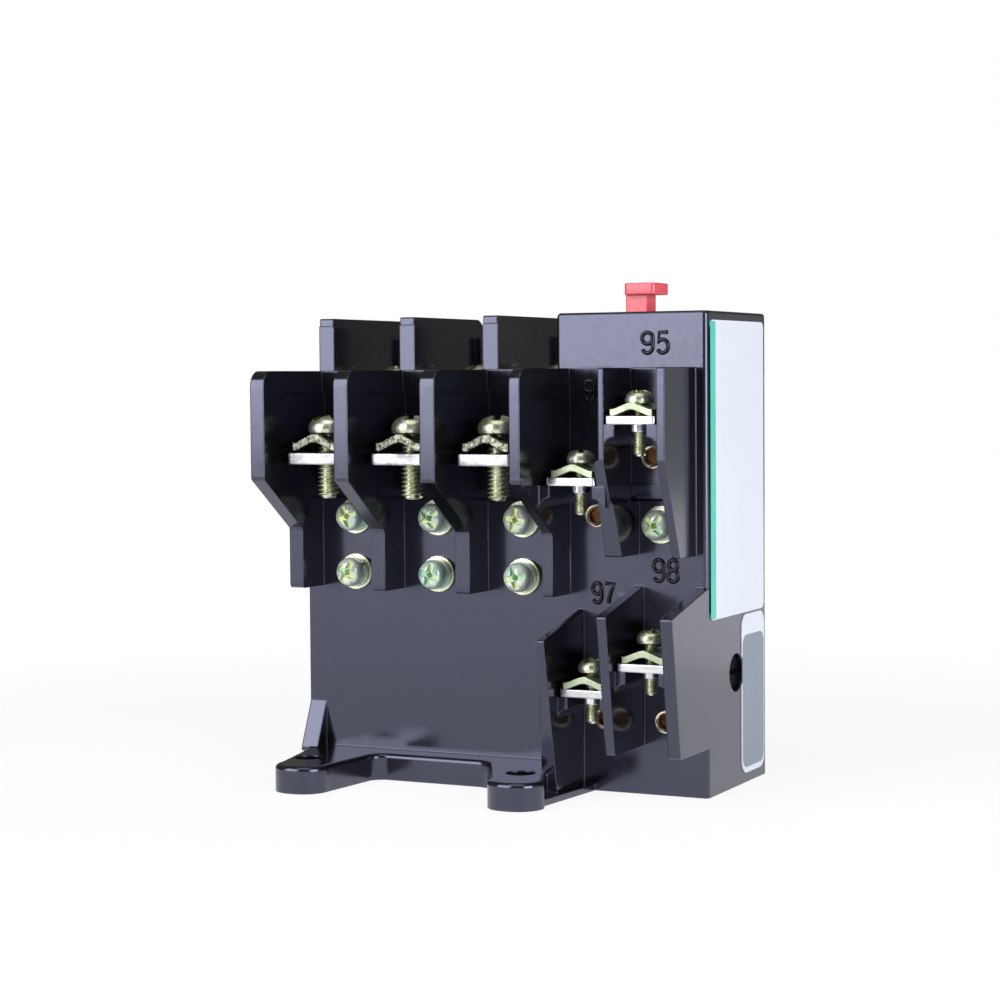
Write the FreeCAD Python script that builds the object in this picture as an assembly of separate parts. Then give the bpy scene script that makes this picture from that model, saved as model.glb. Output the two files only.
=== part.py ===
"""Thermal overload relay: three-pole bimetal relay on a screw-down base, in millimetres.

Frame: the origin is the centre of the four mounting holes on the underside of the base.
+Z is up, -Y points to the load terminals, +X points to the control block.
Each function makes one sub-part; every node is written to parts/NODE.step.
"""
import FreeCAD, Part
import math
import os

# ---- base and mounting ------------------------------------------------------
HOLE_SPACING_X = 53.0  # between the mounting holes, along the relay
HOLE_SPACING_Y = 73.0  # between the mounting holes, across the relay
HOLE_RADIUS = 3.25  # clearance hole for an M6 screw
LUG_LENGTH = 31.2  # lug nose, from the wall
LUG_WIDTH = 12.5  # across a lug's nose
LUG_CORNER = 3.4
LUG_NOSE = LUG_WIDTH / 2 - 0.05  # a lug ends in a half round
LUG_FLARE = 9.4  # how much a lug widens on its way to the wall
FLANGE = 1.5  # thin edge of the base beside the control block
BASE_THICKNESS = 6.0
WEB_REACH = 6.5  # how far the base web stands out from the wall

# ---- housing ----------------------------------------------------------------
BODY_DEPTH = 36.75  # front wall to rear wall
LEFT_REACH = 36.7  # hole pattern centre to the left face
WALL = 2.5
ROOF_HEIGHT = 93.2  # top of the pole section and of the front barriers
BLOCK_HEIGHT = 105.4  # top of the control block and of the rear barriers
BLOCK_LENGTH = 35.6  # control block, along X
EDGE_RADIUS = 1.0
PARTITION = 2.0  # wall between two inner chambers

# ---- poles and barriers -----------------------------------------------------
POLE_COUNT = 3
POLE_PITCH = 21.4
BARRIER = 3.5
BARRIER_INSET = 0.4  # first barrier, from the left face
LAST_BARRIER = 2.4  # the thinner barrier beside the control block
BLOCK_LEAD = 0.7  # control block's left face, ahead of the last barrier
FRONT_REACH = 25.5  # front barriers, from the front wall
FRONT_REACH_LOW = 9.3
BARRIER_KINK = 69.0  # height where a front barrier starts to slant back
BARRIER_BREAK = 57.2  # height where the slant ends
BARRIER_FOOT = 43.4
BARRIER_CORNER = 3.5
REAR_START = 5.5  # rear barriers, from the front wall
REAR_REACH = 4.8  # rear barriers, behind the rear wall
REAR_KINK = 80.0
REAR_FOOT = 72.0
POST_LENGTH = 9.5  # thicker front end of a rear barrier
POST_PROUD = 0.4
POST_DROP = 1.8
REAR_RIB = 1.6  # upright rib on a rear barrier, at the rear wall
REAR_RIB_DROP = 4.4

# ---- main terminals ---------------------------------------------------------
PLATE = 2.5  # terminal plate thickness
PLATE_WIDTH = 12.9
LOAD_PLATE_TOP = 74.8
LOAD_PLATE_REACH = 20.0  # front edge, from the front wall
LOAD_SCREW_REACH = 12.6
LINE_PLATE_TOP = 87.0
LINE_SCREW_BACK = 21.5  # line screw axis, behind the front wall
LINE_PLATE_LENGTH = 22.4
POCKET_LIP = 9.0  # front wall of a line terminal pocket
POCKET_FLOOR = 2.8
WINDOW_SILL = 64.0  # opening that a load plate comes out of
WINDOW_TOP = 88.0
SCREW_RADIUS = 2.45  # M5
SCREW_LENGTH = 14.0
HEAD_RADIUS = 4.8
HEAD_HEIGHT = 4.7
HEAD_SLOT = 1.2
SADDLE_WIDTH = 11.0
SADDLE_LENGTH = 12.8
WALL_RECESS = 1.0  # shallow step in the wall above a load plate
PIP = 2.3  # small square mark between the auxiliary slots
PIP_HEIGHT = 42.6
PIP_FROM = 20.1
SADDLE_THICKNESS = 1.2
SADDLE_RISE = 2.45
SCREW_BOSS = 2.3  # wall round the blind hole under a line screw

# ---- wall screws ------------------------------------------------------------
WALL_SCREW_RADIUS = 2.0  # M4
WALL_HEAD_RADIUS = 3.75
WALL_HEAD_HEIGHT = 2.8
SPRING_WASHER = 1.2
SPRING_WASHER_RADIUS = 3.5
FLAT_WASHER = 0.8
FLAT_WASHER_RADIUS = 4.2
WALL_SCREW_HEIGHTS = (46.95, 59.8)
FRAME_SCREW_HEIGHT = 59.2  # the seventh screw, which holds the mechanism frame
LEG_FOOT = 41.5  # lower end of a load plate's inner leg

# ---- auxiliary terminals ----------------------------------------------------
AUX_PLATE = 1.7
AUX_WIDTH = 11.4
AUX_SCREW_RADIUS = 1.45  # M3
AUX_SCREW_LENGTH = 11.0
AUX_HEAD_RADIUS = 3.1
AUX_HEAD_HEIGHT = 3.1
AUX_HEAD_SLOT = 0.8
AUX_SADDLE = 9.6
AUX_SADDLE_THICKNESS = 1.0
AUX_SADDLE_RISE = 1.4
AUX_COLLAR = 1.7  # tapped collar under an auxiliary plate
AUX_COLLAR_RADIUS = 2.1
RIVET_RADIUS = 2.55
RIVET_BORE = 1.7
RIVET_FLANGE = 0.5
SHOULDER = 2.4  # plastic ledge under each end of an auxiliary plate
SHOULDER_HEIGHT = 4.6
# number: (centre from the right face, top of plate, front edge, screw axis, rivet height,
#          gap between saddle and screw head)
AUX_TERMINALS = {
    "95": (10.6, 83.0, 17.7, 12.2, 74.0, 0.0),
    "96": (25.2, 69.8, 16.0, 10.3, 60.9, 0.4),
    "97": (23.2, 24.1, 14.0, 9.3, 16.3, 0.9),
    "98": (8.9, 30.5, 16.0, 10.5, 16.3, 1.5),
}
RIVET_SHIFT = 0.8  # a rivet's axis, left of the plate's centre
AUX_LEG_EXTRA = 3.2  # inner leg, below its rivet
UPPER_REACH = 17.8  # upper auxiliary barriers, from the front wall
UPPER_REACH_LOW = 9.4
UPPER_KINK = 73.5
UPPER_FOOT = 52.6
INNER_BARRIER = 1.15
INNER_BARRIER_LOW = 2.3  # thicker, lower part of the inner barrier
INNER_BARRIER_SPREAD = 1.1  # how much its left face leans out towards the foot
INNER_BARRIER_STEP = 64.3  # height below which the inner barrier is thicker
INNER_BARRIER_FROM = 16.6  # its right face, from the right face of the block
OUTER_BARRIER = 1.8
OUTER_BARRIER_FROM = 2.64
PAD_THICKNESS = 3.0  # thickened wall behind terminal 95
PAD_FOOT = 66.0
LOWER_REACH = 20.8
LOWER_REACH_LOW = 16.2
LOWER_TOP = 40.8
LOWER_APEX = 45.6  # where the lower wings meet the wall
LOWER_FOOT = 10.8
LOWER_BARRIER = 2.1
WING_THICKNESS = 2.7
MIDDLE_FROM = 15.0  # right face of the middle lower barrier
WING_LEFT_FROM = 29.4  # right face of the left lower barrier
WING_LEFT_DROP = 5.6  # the left wing is this much lower at its top

# ---- bimetals, heaters and slide --------------------------------------------
STRIP_THICKNESS = 1.2
STRIP_WIDTH = 6.2
STRIP_FOOT = 14.0
STRIP_LAP = 10.0  # length riveted to the line plate's tab
TAB_THICKNESS = 1.6
TAB_FOOT = 56.0
TAB_TOP = 74.5
LINE_LEG = 2.1
LINE_LEG_WIDTH = 10.0
LINE_LEG_FOOT = 70.0
RIVET_PIN = 1.0
HEATER_WIDTH = 4.0
HEATER_FOOT = 44.0
HEATER_LAP = 8.0  # heater, above the foot of the tab
HEATER_LOOP = 5.1  # heater's loop, behind the bimetal
BAR_THICKNESS = 1.6
BAR_HEIGHT = 6.0
BAR_FOOT = 17.0
BAR_FROM_STRIP = 0.8
FINGER = 2.0
TRIP_TRAVEL = 2.0

# ---- mechanism in the control block -----------------------------------------
CRANK_OFFSET = 6.7  # crank pivot, right of the control block's left face
CRANK_Y = -9.0
CRANK_PIN = 1.25
CRANK_HUB = 3.0
CRANK_TOP = 31.0
CRANK_ARM = 2.4
CRANK_REACH = 8.0
ROCKER_Z = 43.0
ROCKER_Y = -5.0
ROCKER_PIN = 1.25
ROCKER_HUB = 3.0
ROCKER_PLATE = 1.6
CONTACT_RADIUS = 1.5
CONTACT_HEIGHT = 1.0
BRIDGE = 1.0
BRIDGE_HEIGHT = 4.0
NC_HEIGHT = 66.0
NO_HEIGHT = 21.2
CONTACT_GAP = 1.5
FRAME_PLATE = 1.5
FRAME_WIDTH = 10.0
EAR = 1.2

# ---- operating parts --------------------------------------------------------
STEM_X = 5.1
STEM_Y = 5.1
STEM_LEFT = 10.4  # stem's left face, right of the control block's left face
STEM_FRONT = 15.0  # stem's front face, behind the front wall
STEM_REACH = 15.0  # stem, below the shelf
BUTTON_X = 7.5
BUTTON_Y = 8.6
BUTTON_THICKNESS = 2.6
BUTTON_LIP = 0.15  # head's left face, right of the stem's left face
BUTTON_RISE = 6.8  # top of the button, above the block
COLLAR = 2.0
COLLAR_RADIUS = 4.9
SPRING_WIRE = 0.35
SPRING_RADIUS = 4.1
SPRING_TURNS = 5
SHELF_DROP = 15.4  # shelf, below the top of the block
SHELF = 2.8
DIAL_FROM_RIGHT = 10.8
DIAL_Y = 6.6
DIAL_RADIUS = 6.6
DIAL_THICKNESS = 2.0
DIAL_SHAFT = 3.0
DIAL_BOSS = 9.4  # dial boss, below the top of the block
CAM_RADIUS = 4.6
CAM_OFFSET = 1.0
CAM_THICKNESS = 4.0
MODE_HEIGHT = 25.5
MODE_Y = -1.2
MODE_RADIUS = 4.25
MODE_SHANK = 2.0
MODE_DEPTH = 3.5
MODE_BOSS = 6.0

# ---- covers and labels ------------------------------------------------------
COVER = 2.4
COVER_RECESS = 0.4
COVER_REBATE = 1.3
COVER_POST = 3.5
COVER_POST_TOP = 12.0
COVER_SCREW = 1.3
COVER_SCREW_HEAD = 2.5
POST_INSET = 6.5
LABEL = 0.25
LABEL_MARGIN = 1.3
LABEL_FOOT = 38.5
TAG_LEFT = 20.3  # narrow label's front edge, behind the front wall
TAG_FOOT = 2.2
TAG_TOP = 38.0
LABEL_RADIUS = 1.5

# ---- clearances -------------------------------------------------------------
RUNNING = 0.05  # shaft in its bore, on the radius
SLIDING = 0.2  # bar or stem in its guide, each side
GAP = 0.3  # between pieces that pass each other

# ---- places worked out from the sizes ---------------------------------------
FRONT = -BODY_DEPTH / 2
REAR = BODY_DEPTH / 2
LEFT = -LEFT_REACH
POLES_LEFT = LEFT + BARRIER_INSET
BLOCK_LEFT = POLES_LEFT + POLE_COUNT * POLE_PITCH - BLOCK_LEAD
RIGHT = BLOCK_LEFT + BLOCK_LENGTH
INNER_FRONT = FRONT + WALL
INNER_REAR = REAR - WALL
CEILING = LINE_PLATE_TOP - PLATE - POCKET_FLOOR
BLOCK_CEILING = BLOCK_HEIGHT - WALL
BUTTON_HEIGHT = BLOCK_HEIGHT + BUTTON_RISE
SHELF_TOP = BLOCK_HEIGHT - SHELF_DROP
STEM_FOOT = SHELF_TOP - STEM_REACH
DIAL_BOSS_FOOT = BLOCK_HEIGHT - DIAL_BOSS
BLOCK_INNER_LEFT = BLOCK_LEFT + PARTITION
INNER_RIGHT = RIGHT - WALL
COVER_TOP = COVER_RECESS + COVER
LOAD_SCREW_Y = FRONT - LOAD_SCREW_REACH
LINE_SCREW_Y = FRONT + LINE_SCREW_BACK
LINE_PLATE_FRONT = LINE_SCREW_Y - SADDLE_LENGTH / 2 - 1.4
LEG_BACK = INNER_FRONT + PLATE
STRIP_REAR = LINE_PLATE_FRONT + LINE_LEG + STRIP_WIDTH + 1.3
STRIP_FRONT = STRIP_REAR - STRIP_WIDTH
HEATER_BACK = STRIP_REAR + HEATER_LOOP
HEATER_TOP = TAB_FOOT + HEATER_LAP
PUSH_BAR_FRONT = STRIP_REAR + BAR_FROM_STRIP
DIFF_BAR_REAR = STRIP_FRONT - BAR_FROM_STRIP
CRANK_X = BLOCK_LEFT + CRANK_OFFSET
DIAL_X = RIGHT - DIAL_FROM_RIGHT
STEM_X0 = BLOCK_LEFT + STEM_LEFT
STEM_Y0 = FRONT + STEM_FRONT
CAM_TOP = DIAL_BOSS_FOOT - GAP
COLLAR_TOP = BLOCK_CEILING - GAP
AUX_LEG_BACK = INNER_FRONT + AUX_PLATE


# ---- small helpers ----------------------------------------------------------
def vector(x, y, z):
    return FreeCAD.Vector(x, y, z)


def box(x0, x1, y0, y1, z0, z1):
    """Box between two corners."""
    return Part.makeBox(x1 - x0, y1 - y0, z1 - z0, vector(x0, y0, z0))


def rod(start, end, radius):
    """Round bar between two points."""
    axis = end - start
    return Part.makeCylinder(radius, axis.Length, start, axis)


def join(shapes):
    """Fuse shapes into one clean solid."""
    shapes = list(shapes)
    if len(shapes) == 1:
        return shapes[0]
    return shapes[0].fuse(shapes[1:]).removeSplitter()


def rounded_face(corners, place):
    """Flat face through (u, v, radius) corners, mapped into space by place(u, v)."""
    arcs = []
    count = len(corners)
    for index, (u, v, radius) in enumerate(corners):
        here = vector(u, v, 0)
        before, after = corners[index - 1], corners[(index + 1) % count]
        back = vector(*before[:2], 0) - here
        ahead = vector(*after[:2], 0) - here
        half = back.getAngle(ahead) / 2
        room = min(back.Length * (0.45 if before[2] else 0.9), ahead.Length * (0.45 if after[2] else 0.9))
        reach = min(radius / math.tan(half), room)
        back.normalize()
        ahead.normalize()
        bend = reach * math.tan(half)
        middle = here + (back + ahead).normalize() * (bend / math.sin(half) - bend) if bend else here
        arcs.append((here + back * reach, middle, here + ahead * reach, bend))
    edges = []
    for index, (start, middle, end, bend) in enumerate(arcs):
        if bend:
            points = [place(p.x, p.y) for p in (start, middle, end)]
            edges.append(Part.Arc(*points).toShape())
        after = arcs[(index + 1) % count][0]
        edges.append(Part.LineSegment(place(end.x, end.y), place(after.x, after.y)).toShape())
    return Part.Face(Part.Wire(edges))


def slab_x(corners, x0, x1):
    """Profile of (y, z, radius) corners, extruded along X."""
    return rounded_face(corners, lambda y, z: vector(x0, y, z)).extrude(vector(x1 - x0, 0, 0))


def slab_y(corners, y0, y1):
    """Profile of (x, z, radius) corners, extruded along Y."""
    return rounded_face(corners, lambda x, z: vector(x, y0, z)).extrude(vector(0, y1 - y0, 0))


def slab_z(corners, z0, z1):
    """Profile of (x, y, radius) corners, extruded along Z."""
    return rounded_face(corners, lambda x, y: vector(x, y, z0)).extrude(vector(0, 0, z1 - z0))


def rectangle(u0, u1, v0, v1, radius):
    return [(u0, v0, radius), (u1, v0, radius), (u1, v1, radius), (u0, v1, radius)]


def barrier_left(index):
    """Left face of a front barrier, counted from 0; index POLE_COUNT is the last, thinner one."""
    return POLES_LEFT + index * POLE_PITCH


def pole_edges(pole):
    """Left and right limits of the free space of a pole."""
    return barrier_left(pole) + BARRIER, barrier_left(pole + 1)


def pole_centre(pole):
    left, right = pole_edges(pole)
    return (left + right) / 2


def aux_centre(number):
    return RIGHT - AUX_TERMINALS[number][0]


# ---- housing ----------------------------------------------------------------
def base_half(side):
    """Base web with two mounting lugs in front of (side -1) or behind (side 1) the walls."""
    wall = BODY_DEPTH / 2
    hole = HOLE_SPACING_Y / 2
    nose = wall + LUG_LENGTH
    web = wall + WEB_REACH
    left_hole = -HOLE_SPACING_X / 2
    right_hole = HOLE_SPACING_X / 2
    outer = left_hole - LUG_CORNER
    inner = right_hole + LUG_WIDTH * 0.7
    thick = [
        (LEFT, wall - WALL, 0),
        (LEFT, wall, 0),
        (outer - LUG_CORNER, wall + LUG_LENGTH * 0.32, LUG_LENGTH),
        (outer, nose - LUG_WIDTH / 2, 0),
        (outer, nose, LUG_NOSE),
        (outer + LUG_WIDTH, nose, LUG_NOSE),
        (outer + LUG_WIDTH, nose - LUG_WIDTH / 2, 0),
        (outer + LUG_WIDTH + LUG_FLARE * 0.18, web, LUG_CORNER),
        (inner - LUG_WIDTH - LUG_FLARE, web, LUG_CORNER * 1.5),
        (inner - LUG_WIDTH, nose - LUG_WIDTH / 2, 0),
        (inner - LUG_WIDTH, nose, LUG_NOSE),
        (inner, nose, LUG_NOSE),
        (inner, nose - LUG_WIDTH / 2, 0),
        (inner - LUG_FLARE / 2, wall + WEB_REACH * 2, 0),
        (inner - LUG_FLARE / 2, wall - WALL, 0),
    ]
    thin = [
        (right_hole, wall - WALL, 0),
        (right_hole, nose - LUG_CORNER, 0),
        (inner - LUG_CORNER / 2, nose - LUG_CORNER, LUG_CORNER / 2),
        (inner + FLANGE / 2, wall + EDGE_RADIUS, 0),
        (inner + FLANGE / 2, wall - WALL, 0),
    ]
    slabs = [slab_z([(x, side * y, r) for x, y, r in outline], 0, height)
             for outline, height in ((thick, BASE_THICKNESS), (thin, FLANGE))]
    top = [e for e in slabs[0].Edges if min(v.Z for v in e.Vertexes) > BASE_THICKNESS - 0.01
           and min(abs(v.Y) for v in e.Vertexes) > wall - 0.01]
    slabs[0] = slabs[0].makeFillet(EDGE_RADIUS, top)
    holes = [rod(vector(x, side * hole, -1), vector(x, side * hole, BASE_THICKNESS + 1), HOLE_RADIUS)
             for x in (left_hole, right_hole)]
    return join(slabs).cut(holes)


def gusset(side):
    """Small web between the left face and the base, flush with the left face."""
    wall = side * BODY_DEPTH / 2
    corners = [(wall - side * WALL, BASE_THICKNESS, 0), (wall + side * 4.4, BASE_THICKNESS - 1, 0),
               (wall + side * 4.4, BASE_THICKNESS, 0), (wall, BASE_THICKNESS + 10.2, 0),
               (wall - side * WALL, BASE_THICKNESS + 10.2, 0)]
    return slab_x(corners, LEFT, LEFT + 4.2)


def main_blocks():
    """Pole section and the taller control block, with soft upright and top edges."""
    soft = EDGE_RADIUS
    poles = slab_z(rectangle(LEFT, BLOCK_LEFT + soft * 2, FRONT, REAR, 0), 0, ROOF_HEIGHT)
    block = slab_z(rectangle(BLOCK_LEFT, RIGHT, FRONT, REAR, soft), 0, BLOCK_HEIGHT)
    top = [e for e in block.Edges if min(v.Z for v in e.Vertexes) > BLOCK_HEIGHT - 0.01]
    block = block.makeFillet(soft * 0.8, top)
    return poles.fuse(block)


def front_barrier(x0, x1):
    """Upright wall between two load terminals; its lower part is cut back."""
    corners = [
        (INNER_FRONT, BARRIER_FOOT, 0),
        (FRONT - FRONT_REACH_LOW, BARRIER_FOOT, EDGE_RADIUS),
        (FRONT - FRONT_REACH_LOW, BARRIER_BREAK, EDGE_RADIUS),
        (FRONT - FRONT_REACH, BARRIER_KINK, EDGE_RADIUS),
        (FRONT - FRONT_REACH, ROOF_HEIGHT, BARRIER_CORNER),
        (INNER_FRONT, ROOF_HEIGHT, 0),
    ]
    return slab_x(corners, x0, x1)


def rear_barrier(x0, x1):
    """Taller wall between two line terminals, with a thicker post at its front end."""
    start = FRONT + REAR_START
    corners = [
        (start, ROOF_HEIGHT - WALL, 0),
        (start, BLOCK_HEIGHT, EDGE_RADIUS / 2),
        (REAR + REAR_REACH, BLOCK_HEIGHT, BARRIER_CORNER),
        (REAR + REAR_REACH, REAR_KINK, EDGE_RADIUS),
        (INNER_REAR, REAR_FOOT, 0),
    ]
    post = box(x0, x1 + POST_PROUD, start - POST_PROUD, start + POST_LENGTH,
               ROOF_HEIGHT - WALL, BLOCK_HEIGHT - POST_DROP)
    rib = box(x0, x1 + REAR_RIB, REAR, REAR + REAR_RIB, REAR_KINK, BLOCK_HEIGHT - REAR_RIB_DROP)
    return join([slab_x(corners, x0, x1), post, rib])


def upper_profile(kink):
    return [
        (INNER_FRONT, UPPER_FOOT, 0),
        (FRONT - UPPER_REACH_LOW, UPPER_FOOT, EDGE_RADIUS / 2),
        (FRONT - UPPER_REACH, kink, EDGE_RADIUS),
        (FRONT - UPPER_REACH, ROOF_HEIGHT, EDGE_RADIUS / 2),
        (INNER_FRONT, ROOF_HEIGHT, 0),
    ]


def upper_aux_walls():
    """Barriers beside terminals 95 and 96, with the thickened wall behind terminal 95."""
    inner = RIGHT - INNER_BARRIER_FROM
    outer = RIGHT - OUTER_BARRIER_FROM
    profile = upper_profile(UPPER_KINK)
    thin = slab_x(profile, inner - INNER_BARRIER, inner)
    lean = slab_y([
        (inner, UPPER_KINK, 0),
        (inner - INNER_BARRIER_LOW, UPPER_KINK, EDGE_RADIUS),
        (inner - INNER_BARRIER_LOW - INNER_BARRIER_SPREAD, UPPER_FOOT, 0),
        (inner + INNER_BARRIER / 2, UPPER_FOOT, 0),
        (inner + INNER_BARRIER / 2, INNER_BARRIER_STEP, 0),
        (inner, INNER_BARRIER_STEP + INNER_BARRIER / 2, 0),
    ], FRONT - UPPER_REACH, INNER_FRONT)
    thick = lean.common(slab_x(profile, inner - INNER_BARRIER_LOW * 2, inner + INNER_BARRIER_LOW))
    last = slab_x(profile, outer - OUTER_BARRIER, outer)
    pad = slab_x([
        (INNER_FRONT, PAD_FOOT, 0),
        (FRONT, PAD_FOOT, 0),
        (FRONT - PAD_THICKNESS, PAD_FOOT + 2, 0),
        (FRONT - PAD_THICKNESS, ROOF_HEIGHT, 0),
        (INNER_FRONT, ROOF_HEIGHT, 0),
    ], inner - INNER_BARRIER / 2, outer - OUTER_BARRIER / 2)
    return [thin, thick, last, pad]


def lower_profile(top, apex, reach_low, foot):
    return [
        (INNER_FRONT, foot, 0),
        (FRONT - reach_low, foot, EDGE_RADIUS / 2),
        (FRONT - LOWER_REACH, top, EDGE_RADIUS / 2),
        (FRONT, apex, EDGE_RADIUS),
        (INNER_FRONT, apex, 0),
    ]


def lower_aux_walls():
    """Wings and middle barrier beside terminals 97 and 98."""
    left = RIGHT - WING_LEFT_FROM
    middle = RIGHT - MIDDLE_FROM
    tall = lower_profile(LOWER_TOP, LOWER_APEX, LOWER_REACH_LOW, LOWER_FOOT)
    low = lower_profile(LOWER_TOP - WING_LEFT_DROP, LOWER_APEX - WING_LEFT_DROP,
                        LOWER_REACH_LOW - 2.2, 0)
    lean = slab_y([
        (left, 0, 0),
        (left, LOWER_APEX, 0),
        (left - LOWER_BARRIER * 0.6, LOWER_APEX - WING_LEFT_DROP, 0),
        (left - LOWER_BARRIER * 1.7, 0, 0),
    ], FRONT - LOWER_REACH, INNER_FRONT)
    return [
        slab_x(low, left - LOWER_BARRIER * 2, left).common(lean),
        slab_x(tall, middle - LOWER_BARRIER, middle),
        slab_x(tall, RIGHT - WING_THICKNESS, RIGHT),
        box(RIGHT - PIP_FROM - PIP / 2, RIGHT - PIP_FROM + PIP / 2, FRONT - EDGE_RADIUS / 2, INNER_FRONT,
            PIP_HEIGHT - PIP / 2, PIP_HEIGHT + PIP / 2),
    ]


def aux_walls(number):
    """Left and right limits of the free space of an auxiliary terminal."""
    inner = RIGHT - INNER_BARRIER_FROM
    middle = RIGHT - MIDDLE_FROM
    return {
        "95": (inner, RIGHT - OUTER_BARRIER_FROM - OUTER_BARRIER),
        "96": (barrier_left(POLE_COUNT) + LAST_BARRIER, inner - INNER_BARRIER),
        "97": (RIGHT - WING_LEFT_FROM, middle - LOWER_BARRIER),
        "98": (middle, RIGHT - WING_THICKNESS),
    }[number]


def shoulders(number):
    """Ledges on both sides of a slot, which carry the ends of the auxiliary plate."""
    left, right = aux_walls(number)
    top = AUX_TERMINALS[number][1] - AUX_PLATE
    foot = top - SHOULDER_HEIGHT
    front = FRONT - AUX_TERMINALS[number][2]
    sink = LAST_BARRIER / 4
    ledges = []
    for edge, inward in ((left, 1), (right, -1)):
        corners = [
            (edge - inward * sink, foot, 0),
            (edge, foot, 0),
            (edge + inward * SHOULDER * 0.2, foot + SHOULDER_HEIGHT * 0.36, SHOULDER),
            (edge + inward * SHOULDER, foot + SHOULDER_HEIGHT * 0.42, 0),
            (edge + inward * SHOULDER, top, 0),
            (edge - inward * sink, top, 0),
        ]
        ledges.append(slab_y(corners, front, INNER_FRONT))
    return ledges


def chamber_cuts():
    """Hollow inside: one chamber for each pole and one for the mechanism."""
    cuts = []
    for pole in range(POLE_COUNT):
        left = LEFT + WALL if pole == 0 else barrier_left(pole) + (BARRIER + PARTITION) / 2
        right = barrier_left(pole + 1) + (BARRIER - PARTITION) / 2
        right = BLOCK_LEFT if pole == POLE_COUNT - 1 else right
        cuts.append(box(left, right, INNER_FRONT, INNER_REAR, COVER_TOP, CEILING))
    cuts.append(box(BLOCK_INNER_LEFT, INNER_RIGHT, INNER_FRONT, INNER_REAR, COVER_TOP, BLOCK_CEILING))
    window = (BAR_FOOT - SLIDING, BAR_FOOT + BAR_HEIGHT + SLIDING)
    for front in (PUSH_BAR_FRONT, DIFF_BAR_REAR - BAR_THICKNESS):
        cuts.append(box(LEFT + WALL, BLOCK_INNER_LEFT, front - SLIDING, front + BAR_THICKNESS + SLIDING,
                        *window))
    return cuts


def cover_rebate():
    """Recess under the body that the bottom cover drops into."""
    edge = COVER_REBATE
    return box(LEFT + edge, RIGHT - edge, FRONT + edge, REAR - edge, -1, COVER_TOP)


def post_places():
    """Centres of the four cover posts."""
    return [(x, y) for x in (LEFT + POST_INSET, RIGHT - POST_INSET)
            for y in (FRONT + POST_INSET, REAR - POST_INSET)]


def pocket_cuts(pole):
    """Space of one line terminal, and the window of the load terminal below it."""
    left, right = pole_edges(pole)
    right = BLOCK_LEFT if pole == POLE_COUNT - 1 else right
    centre = pole_centre(pole)
    floor = LINE_PLATE_TOP - PLATE
    leg = LINE_LEG_WIDTH / 2 + SLIDING
    slot = PLATE_WIDTH / 2 + RUNNING
    front = LINE_PLATE_FRONT
    return [
        box(left, right, FRONT + POCKET_LIP, REAR + 1, floor, ROOF_HEIGHT + 1),
        box(left, right, FRONT - 1, FRONT + WALL_RECESS, WINDOW_SILL, WINDOW_TOP),
        box(centre - slot, centre + slot, FRONT - 1, INNER_FRONT + 1, LOAD_PLATE_TOP - PLATE,
            LOAD_PLATE_TOP + RUNNING),
        box(centre - leg, centre + leg, front - SLIDING, front + LINE_LEG + SLIDING, CEILING - 1, floor + 1),
    ]


def screw_boss(pole):
    """Boss under the pocket floor, with a blind hole for the end of the line screw."""
    centre = vector(pole_centre(pole), LINE_SCREW_Y, 0)
    radius = SCREW_RADIUS + GAP
    depth = SADDLE_RISE + SADDLE_THICKNESS + SCREW_LENGTH
    tip = LINE_PLATE_TOP + SADDLE_RISE + SADDLE_THICKNESS - SCREW_LENGTH
    foot = tip - 1.5
    boss = rod(centre + vector(0, 0, foot), centre + vector(0, 0, CEILING + 1), radius + SCREW_BOSS - GAP)
    bore = rod(centre + vector(0, 0, tip - GAP), centre + vector(0, 0, tip + depth), radius)
    return boss, bore


def wall_screw_places():
    """(x, z) of every wall screw: two for each pole and one for the mechanism frame."""
    places = [(pole_centre(pole), z) for pole in range(POLE_COUNT) for z in WALL_SCREW_HEIGHTS]
    return places + [(aux_centre("95"), FRAME_SCREW_HEIGHT)]


def front_hole(x, z, radius):
    """Hole through the front wall."""
    return rod(vector(x, FRONT - PAD_THICKNESS - 1, z), vector(x, INNER_FRONT + 1, z), radius)


def aux_cuts(number):
    """Slot for the auxiliary plate and hole for its rivet."""
    centre = aux_centre(number)
    rivet = centre - RIVET_SHIFT
    top = AUX_TERMINALS[number][1]
    half = AUX_WIDTH / 2 + RUNNING
    slot = box(centre - half, centre + half, FRONT - PAD_THICKNESS - 1, INNER_FRONT + 1,
               top - AUX_PLATE, top + RUNNING)
    return [slot, front_hole(rivet, AUX_TERMINALS[number][4], RIVET_RADIUS - RIVET_FLANGE + RUNNING)]


def stem_hole(z0, z1):
    return box(STEM_X0 - SLIDING, STEM_X0 + STEM_X + SLIDING,
               STEM_Y0 - SLIDING, STEM_Y0 + STEM_Y + SLIDING, z0, z1)


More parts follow.
